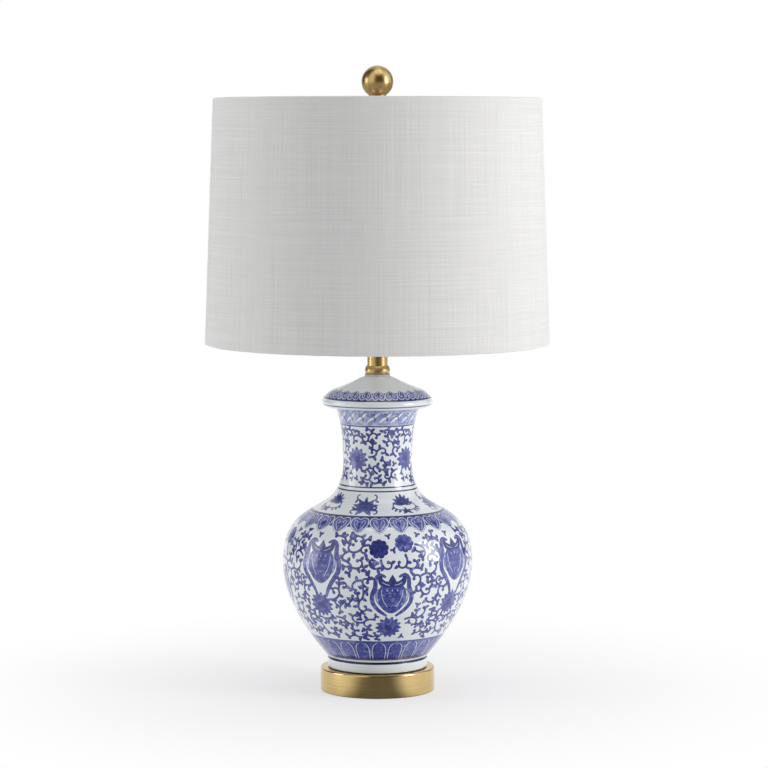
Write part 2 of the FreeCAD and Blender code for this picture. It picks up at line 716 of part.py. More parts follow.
def grooved_tube(crest_r, wall, low, height):
    """A thin tube whose wall waves outwards once per thread pitch above a plain foot."""
    root_r = crest_r + THREAD_DEPTH
    foot_h = height - THREAD_TURNS * THREAD_PITCH
    inner, outer = [], []
    z = low + foot_h
    for i in range(THREAD_TURNS):
        base = z + i * THREAD_PITCH
        for share, r in ((0, crest_r), (0.5, root_r)):
            inner.append(at(r, base + share * THREAD_PITCH))
    inner.append(at(crest_r, low + height))
    outer = [at(p.x + wall, p.z) for p in inner]
    return turned([
        line(at(crest_r, low), at(crest_r, z)),
        curve(inner).toShape(),
        line(inner[-1], outer[-1]),
        curve(outer).toShape(),
        line(at(crest_r + wall, z), at(crest_r + wall, low)),
        line(at(crest_r + wall, low), at(crest_r, low)),
    ])


def centre_contact():
    return Part.makeCylinder(CONTACT_R, CONTACT_T, Vector(0, 0, CORE_TOP_Z))


# ---------------------------------------------------------------- switch
def key_inner_y():
    return SHELL_R + KEY_STANDOFF


def switch_spindle():
    """Round shaft from inside the core out to the key."""
    tip_y = key_inner_y() + KEY_HUB_L + KEY_L / 2
    start_y = CORE_R / 3
    return cylinder(SPINDLE_R, tip_y - start_y, Vector(0, -start_y, KEY_Z), Vector(0, -1, 0))


def switch_key():
    """Moulded turn key: a round hub and a flat oval grip."""
    inner_y = key_inner_y()
    hub = cylinder(KEY_HUB_R, KEY_HUB_L, Vector(0, -inner_y, KEY_Z), Vector(0, -1, 0))
    grip_y = -(inner_y + KEY_HUB_L + KEY_L / 2)
    grip = box_about(KEY_T, KEY_L, KEY_W, Vector(0, grip_y, KEY_Z))
    grip = grip.makeFillet(KEY_T * 0.45, grip.Edges)
    bore = cylinder(SPINDLE_R, KEY_HUB_L + KEY_L / 2, Vector(0, -inner_y, KEY_Z), Vector(0, -1, 0))
    return hub.fuse(grip).cut(bore)


# ---------------------------------------------------------------- bulb
def bulb_cap():
    """Metal screw base of the bulb, with rounded threads."""
    root_r = THREAD_R - THREAD_DEPTH
    low = BULB_Z + BULB_TIP_H
    thread = []
    for i in range(THREAD_TURNS):
        base = low + THREAD_PITCH * (i + 0.5)
        thread.append(at(root_r, base))
        thread.append(at(THREAD_R, base + THREAD_PITCH / 2))
    thread.append(at(root_r, low + THREAD_PITCH * (THREAD_TURNS + 0.5)))
    top = BULB_COLLAR_Z
    return turned([
        line(at(0, low), at(BULB_TIP_R, low)),
        line(at(BULB_TIP_R, low), thread[0]),
        curve(thread).toShape(),
        line(thread[-1], at(root_r, top)),
        line(at(root_r, top), at(0, top)),
        line(at(0, top), at(0, low)),
    ])


def bulb_contact():
    """Solder tip at the bottom of the screw base."""
    low = BULB_Z
    high = low + BULB_TIP_H
    return turned_polygon((0, low), (BULB_TIP_R / 2, low), (BULB_TIP_R, high), (0, high))


def bulb_housing():
    """Opal plastic body that widens from the screw base to the globe."""
    low, high = BULB_COLLAR_Z, BULB_COLLAR_Z + BULB_HOUSING_H
    side = curve([at(BULB_COLLAR_R, low), at(BULB_COLLAR_R + 2.2, low + BULB_HOUSING_H * 0.3),
                  at(BULB_HOUSING_R - 4.6, low + BULB_HOUSING_H * 0.72), at(BULB_HOUSING_R, high)])
    return turned([
        line(at(0, low), at(BULB_COLLAR_R, low)),
        side.toShape(),
        line(at(BULB_HOUSING_R, high), at(0, high)),
        line(at(0, high), at(0, low)),
    ])


def bulb_globe():
    """Frosted hollow globe on the housing."""
    low = BULB_COLLAR_Z + BULB_HOUSING_H
    top = low + BULB_GLOBE_H
    centre = top - BULB_GLOBE_R
    wall = BULB_WALL
    rim_r = BULB_HOUSING_R
    widest = at(BULB_GLOBE_R, centre)
    side = curve([at(rim_r, low), at((rim_r + BULB_GLOBE_R) / 2 + 0.4, (low + centre) / 2), widest])
    inner = curve([at(BULB_GLOBE_R - wall, centre),
                   at((rim_r + BULB_GLOBE_R) / 2 + 0.4 - wall, (low + centre) / 2), at(rim_r - wall, low)])
    half = math.sqrt(0.5)
    return turned([
        side.toShape(),
        arc(widest, at(BULB_GLOBE_R * half, centre + BULB_GLOBE_R * half), at(0, top)),
        line(at(0, top), at(0, top - wall)),
        arc(at(0, top - wall), at((BULB_GLOBE_R - wall) * half, centre + (BULB_GLOBE_R - wall) * half),
            at(BULB_GLOBE_R - wall, centre)),
        inner.toShape(),
        line(at(rim_r - wall, low), at(rim_r, low)),
    ])


# ---------------------------------------------------------------- shade
def shade_r(height):
    """The shade's outer radius at a height."""
    share = (height - SHADE_BOTTOM_Z) / SHADE_H
    return SHADE_BOTTOM_R + share * (SHADE_TOP_R - SHADE_BOTTOM_R)


def shade_layer(outer_in, inner_in, trim):
    """A conical sheet of the shade, by its distances in from the outer face."""
    low, high = SHADE_BOTTOM_Z + trim, SHADE_TOP_Z - trim
    return turned_polygon(
        (shade_r(low) - inner_in, low), (shade_r(low) - outer_in, low),
        (shade_r(high) - outer_in, high), (shade_r(high) - inner_in, high))


def shade_cloth():
    return shade_layer(0, CLOTH_T, 0)


def shade_lining():
    """Stiff white sheet that the cloth is laminated on."""
    return shade_layer(CLOTH_T, CLOTH_T + LINING_T, CLOTH_T)


def wire_ring(edge_z, inward):
    """Centre radius and height of the wire ring near an edge. inward is +1 at the bottom, -1 at the top."""
    z = edge_z + inward * (HEM_T + CLEAR + RING_WIRE_R)
    return shade_r(z) - CLOTH_T - LINING_T - RING_WIRE_R - SLIP, z


def shade_ring(edge_z, inward):
    r, z = wire_ring(edge_z, inward)
    return Part.makeTorus(r, RING_WIRE_R, Vector(0, 0, z))


def shade_hem(edge_z, inward):
    """Cloth turned in over the wire ring and glued down inside."""
    r, z = wire_ring(edge_z, inward)
    leg_out = r - RING_WIRE_R - CLEAR
    leg_in = leg_out - HEM_T
    fold = edge_z + inward * HEM_T
    leg_end = z + inward * HEM_H
    rim_r = shade_r(edge_z) - CLOTH_T
    hem = turned_polygon((leg_in, leg_end), (leg_out, leg_end), (leg_out, fold), (rim_r, fold),
                         (rim_r, edge_z), (leg_in, edge_z))
    return hem.cut([shade_lining(), shade_cloth()])


def spider_washer():
    """Flat washer of the spider; it sits on the harp's boss."""
    return ring(SPIDER_WASHER_R, STUD_R + LOOSE, HARP_TOP_Z, SPIDER_TOP_Z)


def spider_arms():
    """Wire arms welded on the washer and to the top ring."""
    ring_r, ring_z = wire_ring(SHADE_TOP_Z, -1)
    weld = SPIDER_WIRE_R / 4
    arm_z = SPIDER_TOP_Z + SPIDER_WIRE_R - weld
    start_r = COLLAR_R + 2 * CLEAR
    welded_to = [shade_ring(SHADE_TOP_Z, -1), shade_hem(SHADE_TOP_Z, -1), spider_washer()]
    arms = []
    for i in range(SPIDER_ARMS):
        angle = math.radians(90 + 360 * i / SPIDER_ARMS)
        way = Vector(math.cos(angle), math.sin(angle), 0)
        start = way * start_r + Vector(0, 0, arm_z)
        knee = way * (SPIDER_WASHER_R + SPIDER_FLAT) + Vector(0, 0, arm_z)
        end = way * ring_r + Vector(0, 0, ring_z)
        flat = cylinder(SPIDER_WIRE_R, (knee - start).Length, start, way)
        slope = cylinder(SPIDER_WIRE_R, (end - knee).Length, knee, end - knee)
        joint = Part.makeSphere(SPIDER_WIRE_R, knee)
        arm = flat.fuse(slope).fuse(joint).cut(welded_to)
        arms.append(max(arm.Solids, key=lambda s: s.Volume))
    return Part.makeCompound(arms)


# ---------------------------------------------------------------- finial
def finial_collar():
    """Waisted brass collar under the ball, threaded on the harp's stud."""
    hole_r = STUD_R + SLIP
    low, high = SPIDER_TOP_Z, COLLAR_TOP_Z
    hole_top = HARP_TOP_Z + STUD_H + CLEAR
    spigot_top = high + FINIAL_SPIGOT_H
    foot_top, head_low = low + COLLAR_BAND_H, high - COLLAR_BAND_H / 2
    return turned([
        line(at(hole_r, low), at(COLLAR_R, low)),
        line(at(COLLAR_R, low), at(COLLAR_R, foot_top)),
        arc(at(COLLAR_R, foot_top), at(COLLAR_WAIST_R, (foot_top + head_low) / 2), at(COLLAR_R, head_low)),
        line(at(COLLAR_R, head_low), at(COLLAR_R, high)),
        line(at(COLLAR_R, high), at(FINIAL_SPIGOT_R, high)),
        line(at(FINIAL_SPIGOT_R, high), at(FINIAL_SPIGOT_R, spigot_top)),
        line(at(FINIAL_SPIGOT_R, spigot_top), at(0, spigot_top)),
        line(at(0, spigot_top), at(0, hole_top)),
        line(at(0, hole_top), at(hole_r, hole_top)),
        line(at(hole_r, hole_top), at(hole_r, low)),
    ])


def finial_ball():
    """Hollow brass ball, cut flat where it sits on its collar, with a hole for the spigot."""
    hole_r = FINIAL_SPIGOT_R + SLIP
    low = COLLAR_TOP_Z
    centre = low + math.sqrt(FINIAL_R ** 2 - COLLAR_R ** 2)
    inner_r = FINIAL_R - FINIAL_WALL
    hole_top = centre - math.sqrt(inner_r ** 2 - hole_r ** 2)
    return turned([
        line(at(hole_r, low), at(COLLAR_R, low)),
        arc(at(COLLAR_R, low), at(FINIAL_R, centre), at(0, centre + FINIAL_R)),
        line(at(0, centre + FINIAL_R), at(0, centre + inner_r)),
        arc(at(0, centre + inner_r), at(inner_r, centre), at(hole_r, hole_top)),
        line(at(hole_r, hole_top), at(hole_r, low)),
    ])


# ---------------------------------------------------------------- all nodes
def build():
    harp = Part.makeCompound([harp_half(1), harp_half(-1)])
    top = harp_top()
    for half in harp.Solids:
        top = top.cut(half)
    return {
        "base_pan": base_pan(),
        "base_felt": base_felt(),
        "base_board": base_board(),
        "cord_grommet": cord_grommet(),
        "base_washer": base_washer(),
        "base_locknut": base_locknut(),
        "threaded_rod": threaded_rod(),
        "rod_bushing": rod_bushing(),
        "foot_gasket": foot_gasket(),
        "jar_body": jar_body(),
        "jar_lid": jar_lid(),
        "lid_washer": lid_washer(),
        "neck_bead": neck_bead(),
        "neck_tube": neck_tube(),
        "neck_cap": neck_cap(),
        "harp_saddle": harp_saddle(),
        "harp_bow": harp,
        "harp_top": top,
        "harp_ferrule_left": ferrule(-1),
        "harp_ferrule_right": ferrule(1),
        "socket_cap": socket_cap(),
        "socket_shell": socket_shell(),
        "socket_liner": socket_liner(),
        "socket_core": socket_core(),
        "terminal_screws": terminal_screws(),
        "screw_shell": screw_shell(),
        "centre_contact": centre_contact(),
        "switch_spindle": switch_spindle(),
        "switch_key": switch_key(),
        "bulb_cap": bulb_cap(),
        "bulb_contact": bulb_contact(),
        "bulb_housing": bulb_housing(),
        "bulb_globe": bulb_globe(),
        "shade_cloth": shade_cloth(),
        "shade_lining": shade_lining(),
        "shade_ring_top": shade_ring(SHADE_TOP_Z, -1),
        "shade_ring_bottom": shade_ring(SHADE_BOTTOM_Z, 1),
        "shade_hem_top": shade_hem(SHADE_TOP_Z, -1),
        "shade_hem_bottom": shade_hem(SHADE_BOTTOM_Z, 1),
        "spider_washer": spider_washer(),
        "spider_arms": spider_arms(),
        "finial_collar": finial_collar(),
        "finial_ball": finial_ball(),
    }


nodes = build()
for name, shape in nodes.items():
    shape.exportStep(f"parts/{name}.step")
    box = shape.BoundBox
    print(f"{name:20s} solids {len(shape.Solids)} valid {shape.isValid()}"
          f" volume {shape.Volume / 1000:9.3f} cm3  z {box.ZMin:7.2f} to {box.ZMax:7.2f}")
print("shade", round(SHADE_BOTTOM_Z, 2), "to", round(SHADE_TOP_Z, 2))
print("key", round(KEY_Z, 2), "bulb", round(BULB_Z, 2), "ferrule", round(FERRULE_Z, 2))
print("grommet from y", round(grommet_lip_y() - GROMMET_LIP_T, 3), "to", BASE_R + GROMMET_FLANGE_T)
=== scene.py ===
# %% [markdown]
# # A ginger jar table lamp
#
# This notebook dresses a lamp whose construction is already fixed: every metal, porcelain and
# plastic piece has its true size and place in a CAD frame. Here the pieces get their finish,
# and those that the eye dwells on are modelled again with more care: the painted jar and lid,
# the linen shade, the brushed brass and the bulb.
#
# Lengths in the frame are metres. The painting is easier to think of in millimetres, so its
# own cells use those, and say so.

import bmesh
import bpy
import json
import math
import numpy as np
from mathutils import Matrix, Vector
from mathutils.bvhtree import BVHTree
from mathutils.geometry import delaunay_2d_cdt
from random import Random

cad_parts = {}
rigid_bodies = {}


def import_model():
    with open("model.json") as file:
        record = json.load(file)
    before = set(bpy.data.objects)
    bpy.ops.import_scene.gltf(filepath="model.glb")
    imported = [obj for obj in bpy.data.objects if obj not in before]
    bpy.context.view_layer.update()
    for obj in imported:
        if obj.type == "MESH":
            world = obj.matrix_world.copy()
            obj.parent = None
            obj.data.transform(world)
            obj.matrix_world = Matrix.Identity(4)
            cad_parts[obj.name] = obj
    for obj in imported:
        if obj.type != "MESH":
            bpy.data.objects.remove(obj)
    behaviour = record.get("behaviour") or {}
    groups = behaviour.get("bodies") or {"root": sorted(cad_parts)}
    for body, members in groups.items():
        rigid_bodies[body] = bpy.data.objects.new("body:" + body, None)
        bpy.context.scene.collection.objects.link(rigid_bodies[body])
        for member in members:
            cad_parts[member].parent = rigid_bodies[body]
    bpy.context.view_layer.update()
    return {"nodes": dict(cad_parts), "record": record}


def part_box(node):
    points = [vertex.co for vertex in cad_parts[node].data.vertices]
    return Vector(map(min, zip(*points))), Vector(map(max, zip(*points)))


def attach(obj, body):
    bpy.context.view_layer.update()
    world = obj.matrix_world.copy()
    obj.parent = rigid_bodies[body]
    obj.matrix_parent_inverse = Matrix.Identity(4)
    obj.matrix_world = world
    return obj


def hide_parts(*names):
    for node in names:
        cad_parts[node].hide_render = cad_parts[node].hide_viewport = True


for startup in list(bpy.data.objects):
    bpy.data.objects.remove(startup)
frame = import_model()
MM = 0.001
NEAR = 1e-6  # m: closer than this is the same place
HAIR = 1e-5  # m: a step that clears a surface
FULL_TURN = 2 * math.pi
body_of_node = {node: body for body, nodes in frame["record"]["behaviour"]["bodies"].items()
                for node in nodes}
slot_of_node = {part["node"]: part["material_slot"] for part in frame["record"]["subparts"]}

# %% [markdown]
# ## Outlines of the turned pieces
#
# A potter's wheel and a lathe both make shapes that are one outline swept round an axis. The
# frame's meshes hold that outline: their points on the half plane in front of +X. Reading it
# from there keeps every new piece exactly on the size of the one that it replaces.


# %% Read a turned piece's outline from the frame
def surface(node):
    """The node's surface, ready for ray casts."""
    mesh = frame["nodes"][node].data
    return BVHTree.FromPolygons([v.co for v in mesh.vertices], [p.vertices for p in mesh.polygons])


def heights_on_axis(node):
    """Where a solid's surface crosses its axis: a flat end has no point there in the mesh."""
    tree = surface(node)
    heights, down = [], Vector((0, 0, -1))
    start = Vector((2 * HAIR, HAIR, 2.0))  # a little off the axis, to miss the mesh's edges
    while (hit := tree.ray_cast(start, down)[0]) is not None:
        heights.append(round(hit.z, 7))
        start = hit + down * HAIR
    return heights


def outline_of(node):
    """The closed outline of a turned node, as (radius, height) pairs in metres, in order."""
    mesh = frame["nodes"][node].data
    keys = {}
    for vertex in mesh.vertices:
        x, y, z = vertex.co
        if abs(y) < NEAR and x > -NEAR:
            keys[vertex.index] = (round(max(x, 0.0), 7), round(z, 7))
    beside = {key: set() for key in keys.values()}
    for edge in mesh.edges:
        a, b = (keys.get(i) for i in edge.vertices)
        if a and b and a != b:
            beside[a].add(b)
            beside[b].add(a)
    for height in heights_on_axis(node):
        if not any(p[0] < NEAR and abs(p[1] - height) < HAIR for p in beside):
            beside[(0.0, height)] = set()
    here = min(beside, key=lambda p: (p[1], -p[0]))
    loop, left = [here], set(beside) - {here}
    while left:
        linked = [p for p in beside[here] if p in left]
        here = min(linked or left, key=lambda p: math.dist(p, loop[-1]))
        loop.append(here)
        left.discard(here)
    return loop


def is_anticlockwise(loop):
    area = sum(a[0] * b[1] - b[0] * a[1] for a, b in zip(loop, loop[1:] + loop[:1]))
    return area > 0


print("outline of the pan:", len(outline_of("base_pan")), "points")


# %% Sweep an outline into a closed mesh
def add_object(name, mesh, material=None):
    piece = bpy.data.objects.new(name, mesh)
    bpy.context.scene.collection.objects.link(piece)
    if material:
        mesh.materials.append(material)
    return piece


def bridge(shape, low, high):
    """Faces between two rings. A ring that is one pole, repeated, gets triangles."""
    for i in range(len(low)):
        j = (i + 1) % len(low)
        corners = list(dict.fromkeys([low[i], low[j], high[j], high[i]]))
        if len(corners) > 2:
            shape.faces.new(corners)


def as_mesh(shape, name, sharp):
    """The finished mesh, smooth but for edges that turn by more than the angle in degrees."""
    mesh = bpy.data.meshes.new(name)
    shape.to_mesh(mesh)
    shape.free()
    mesh.shade_smooth()
    mesh.set_sharp_from_angle(angle=math.radians(sharp))
    return mesh


def swept(name, loop, segments, closed=True):
    """A solid of revolution; outline points on the axis become one pole each."""
    if closed and not is_anticlockwise(loop):
        loop = loop[::-1]
    shape = bmesh.new()
    turns = [FULL_TURN * i / segments for i in range(segments)]
    rings = []
    for radius, height in loop:
        if radius < NEAR:
            rings.append([shape.verts.new((0, 0, height))] * segments)
        else:
            rings.append([shape.verts.new((radius * math.cos(turn), radius * math.sin(turn), height))
                          for turn in turns])
    for low, high in zip(rings, rings[1:] + rings[:1] if closed else rings[1:]):
        bridge(shape, low, high)
    return as_mesh(shape, name, 35)


def stand_for(piece, node):
    """The piece takes the node's place and body; the node is hidden."""
    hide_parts(node)
    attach(piece, body_of_node[node])

# %% [markdown]
# ## A flat sheet for the painter
#
# The jar is covered in brushwork: lotus scrolls, ruyi heads, lappets. Paint on a round jar can
# be a texture, but here no picture is used, so every stroke is drawn as an outline on a flat
# sheet, the sheet is cut along all the outlines at once, and each small face remembers how
# dark its paint is. A constrained Delaunay triangulation does that cutting.
#
# The sheet is unrolled so that a small circle on it stays a circle on the jar (a conformal
# map): its height is the integral of length over radius. One sheet covers a quarter of the
# jar, and what leaves it at one side comes in at the other.

# %% The sheet: a quarter of the jar, unrolled
SHEET_R = 100.0  # mm: the radius at which the sheet shows true sizes
QUARTER = SHEET_R * math.pi / 2
COLUMNS = 48  # points along a level line across the sheet
PIXEL = 0.5  # mm: of the map that says which places are taken
GROUND, PALE, WASH, DEEP, LINE = 0.0, 0.25, 0.5, 0.75, 1.0  # how dark the paint is


class Sheet:
    def __init__(self, outline):
        """outline: (radius, height) pairs in millimetres, climbing."""
        self.r, self.z = (np.array(column) for column in zip(*outline))
        steps = np.hypot(np.diff(self.r), np.diff(self.z))
        mean_r = (self.r[1:] + self.r[:-1]) / 2
        self.y = np.concatenate([[0.0], np.cumsum(steps * SHEET_R / mean_r)])
        self.height = float(self.y[-1])
        self.shapes = []
        self.taken = np.zeros((int(self.height / PIXEL) + 2, int(round(QUARTER / PIXEL))), bool)

    def row(self, z):
        """Sheet height of a height on the jar."""
        return float(np.interp(z, self.z, self.y))

    def scale(self, y):
        """Sheet millimetres for one millimetre of the jar, at a sheet height."""
        return SHEET_R / float(np.interp(y, self.y, self.r))

    def paint(self, points, tone):
        """Paints a closed outline. Later paint covers earlier paint."""
        if not is_anticlockwise(points):
            points = points[::-1]
        xs = [p[0] for p in points]
        for shift in (-QUARTER, 0.0, QUARTER):
            if min(xs) + shift < QUARTER and max(xs) + shift > 0:
                self.shapes.append(([(x + shift, y) for x, y in points], tone))

    def block(self, x, y, radius):
        """Keeps the scrolls off a round place."""
        reach = int(radius / PIXEL) + 1
        for dy in range(-reach, reach + 1):
            for dx in range(-reach, reach + 1):
                if dx * dx + dy * dy <= (radius / PIXEL) ** 2:
                    j = int(y / PIXEL) + dy
                    if 0 <= j < self.taken.shape[0]:
                        self.taken[j, (int(x / PIXEL) + dx) % self.taken.shape[1]] = True

    def is_free(self, x, y):
        j = int(y / PIXEL)
        return 0 <= j < self.taken.shape[0] and not self.taken[j, int(x / PIXEL) % self.taken.shape[1]]


SKIN_START = 0.0009  # m above the jar's foot: the painted skin begins on its rounded edge
ROUNDING = 1e-7  # m: of an outline's points
CLEAR_OF_IT = 0.0005  # m outside a point, where the ray starts that looks for another wall


def climbing_outside(node, low, high):
    """The outer side of a turned node between two heights, in millimetres, from its foot up."""
    tree = surface(node)
    widest = {}
    for radius, z in outline_of(node):
        start = Vector((radius + CLEAR_OF_IT, 0, z + ROUNDING))
        is_between = low - ROUNDING < z < high + ROUNDING
        if is_between and tree.ray_cast(start, Vector((1, 0, 0)))[0] is None:
            widest[z / MM] = max(radius / MM, widest.get(z / MM, 0.0))
    return [(radius, z) for z, radius in sorted(widest.items())]


jar_low, jar_high = (corner[2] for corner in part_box("jar_body"))
jar_outside = climbing_outside("jar_body", jar_low + SKIN_START, jar_high)
jar_sheet = Sheet(jar_outside)
print("jar outline", len(jar_outside), "points; sheet", round(QUARTER), "by", round(jar_sheet.height), "mm")


# %% Paths and outlines
def bending(start, heading, length, first_bend, last_bend, steps):
    """Points of a curve whose bend, in degrees per millimetre, changes evenly along it."""
    x, y = start
    angle = math.radians(heading)
    step = length / steps
    points = [(x, y)]
    for i in range(steps):
        bend = first_bend + (last_bend - first_bend) * (i + 0.5) / steps
        angle += math.radians(bend * step) / 2
        x, y = x + step * math.cos(angle), y + step * math.sin(angle)
        angle += math.radians(bend * step) / 2
        points.append((x, y))
    return points


def brushed(path, widths):
    """The outline of a stroke along a path, with a width for each of its points."""
    left, right = [], []
    last = len(path) - 1
    for i, ((x, y), width) in enumerate(zip(path, widths)):
        (ax, ay), (bx, by) = path[max(i - 1, 0)], path[min(i + 1, last)]
        long = math.hypot(bx - ax, by - ay) or 1.0
        nx, ny = (ay - by) / long * width / 2, (bx - ax) / long * width / 2
        left.append((x + nx, y + ny))
        right.append((x - nx, y - ny))
    return left + right[::-1]


def lengthened(path, by):
    """The path with both its ends moved out."""
    def beyond(end, before):
        long = math.dist(end, before) or 1.0
        return tuple(e + (e - b) / long * by for e, b in zip(end, before))

    return [beyond(path[0], path[1])] + path[1:-1] + [beyond(path[-1], path[-2])]


def grown(points, by):
    """A closed outline moved outwards along its normals."""
    if not is_anticlockwise(points):
        points = points[::-1]
    out = []
    for i, (x, y) in enumerate(points):
        (ax, ay), (bx, by_) = points[i - 1], points[(i + 1) % len(points)]
        long = math.hypot(bx - ax, by_ - ay) or 1.0
        out.append((x + (by_ - ay) / long * by, y - (bx - ax) / long * by))
    return out


bend = bending((0, 0), 0, 10, 9, 9, 8)
print("a path of 10 mm that turns by 90 degrees ends at", [round(v, 1) for v in bend[-1]])


# %% Brush strokes
def stroke(sheet, path, widths, tone=WASH, rim=0.45, rim_tone=LINE):
    """A brush stroke with a darker line round it."""
    k = sheet.scale(path[0][1])
    if rim:
        sheet.paint(brushed(lengthened(path, rim * k), [w * k + 2 * rim * k for w in widths]), rim_tone)
    sheet.paint(brushed(path, [w * k for w in widths]), tone)


def blot(sheet, points, tone=WASH, rim=0.5):
    """A filled shape with a darker line round it."""
    if rim:
        sheet.paint(grown(points, rim * sheet.scale(points[0][1])), LINE)
    sheet.paint(points, tone)


def plain(sheet, path, width, tone):
    """A stroke without a line round it. Width: one number, or one for each point."""
    widths = width if isinstance(width, (list, tuple)) else [width] * len(path)
    stroke(sheet, path, widths, tone, rim=0)


def round_shape(x, y, radius, count=10):
    turns = [FULL_TURN * i / count for i in range(count)]
    return [(x + radius * math.cos(t), y + radius * math.sin(t)) for t in turns]


def leaf_widths(count, width):
    return [max(width * math.sin(math.pi * (i + 0.35) / (count + 0.7)), 0.3) for i in range(count + 1)]


def leaf(sheet, x, y, heading, length, width, hand=1):
    """A comma leaf: pointed, fuller in the middle, bent to one side."""
    k = sheet.scale(y)
    path = bending((x, y), heading, length * k, 3 * hand / k, 12 * hand / k, 5)
    stroke(sheet, path, leaf_widths(5, width))
    for px, py in path[1:]:
        sheet.block(px, py, (width / 2 + 0.9) * k)


MIDWAY = (-0.125, 1.125, 1.125, -0.125)  # twice the weights of a Catmull-Rom curve's middle


def smoothed(points, closed=False):
    """The points with one more between each two, on a smooth curve."""
    count = len(points)
    out = []
    for i in range(count if closed else count - 1):
        around = range(i - 1, i + 3)
        four = [points[j % count] if closed else points[min(max(j, 0), count - 1)] for j in around]
        out.append(points[i])
        out.append(tuple(sum(b * p[axis] for b, p in zip(MIDWAY, four)) / 2 for axis in (0, 1)))
    return out if closed else out + [points[-1]]

# %% [markdown]
# ## The motifs
#
# Each motif of the pattern is a short function that paints its strokes at a place on the
# sheet. A painter works the same way: a wash first, a dark outline round it, then veins. The
# sizes are those of the brushwork on the jar, in millimetres.


# %% Flowers
def rosette(sheet, x, y, radius, petals, depth, tone=WASH, turn=0.0, pointed=False):
    """A flower seen from the front: round or pointed petals with a line between them."""
    k, first = sheet.scale(y), math.radians(turn)
    count = petals * 6
    outline = []
    for i in range(count):
        a = FULL_TURN * i / count + first
        half = petals * (a - first) / 2
        lobe = 1 - abs(math.sin(half)) ** 1.5 if pointed else abs(math.cos(half)) ** 0.7
        reach = radius * k * (1 - depth + depth * lobe)
        outline.append((x + reach * math.cos(a), y + reach * math.sin(a)))
    blot(sheet, outline, tone)
    inner, outer = 0.36 * radius * k, 0.8 * radius * k * (1 - depth / 2)
    for i in range(petals):
        a = FULL_TURN * (i + 0.5) / petals + first
        path = [(x + t * math.cos(a), y + t * math.sin(a)) for t in (inner, (inner + outer) / 2, outer)]
        plain(sheet, path, [0.35, 0.5, 0.2], LINE)
    blot(sheet, round_shape(x, y, 0.26 * radius * k), DEEP, rim=0.35)
    sheet.block(x, y, (radius + 1.0) * k)


def pointed_petal(x, y, heading, length, width):
    """A lotus petal: round at its foot and pointed at its tip."""
    a = math.radians(heading)
    side = [(0, 0.12), (0.2, 0.42), (0.45, 0.5), (0.72, 0.34), (0.9, 0.13), (1, 0)]
    local = [(t * length, w * width) for t, w in side]
    local += [(t * length, -w * width) for t, w in side[-2::-1]]
    return [(x + u * math.cos(a) - v * math.sin(a), y + u * math.sin(a) + v * math.cos(a)) for u, v in local]


def lotus(sheet, x, y, radius, tone=WASH, spread=105.0, petals=7):
    """A lotus from the side: petals fan out from its foot, the outer ones first."""
    k = sheet.scale(y) * radius
    order = sorted(range(petals), key=lambda i: -abs(i - (petals - 1) / 2))
    for row, (reach, widest) in enumerate(((1.0, 0.42), (0.72, 0.34))):
        for i in order:
            share = i / (petals - 1) - 0.5
            heading = 90 - share * 2 * spread * (1 - 0.25 * row)
            length = k * reach * (1.25 - 0.35 * abs(share))
            petal = pointed_petal(x, y - 0.35 * k, heading, length, k * widest)
            blot(sheet, petal, tone if row == 0 else DEEP, rim=0.32)
    sheet.block(x, y, k * 1.15)


print("a petal has", len(pointed_petal(0, 0, 90, 10, 4)), "points")


# %% The great lotus heads with their ribbons
HEAD_BODY = [(0, -17.5), (5, -15.5), (10, -10), (12.2, -2.5), (11.4, 5.5), (7.6, 10), (0, 11.4)]
HEAD_CROWN = [(0, 9), (8, 8.5), (11.5, 12), (11.8, 16), (9.6, 17.4), (8.2, 14.6), (3.4, 12.6), (0, 18.8)]


def both_sides(points):
    """A shape from its right half, which runs from the middle's foot to its top."""
    return points + [(-x, y) for x, y in points[::-1] if x > 0]


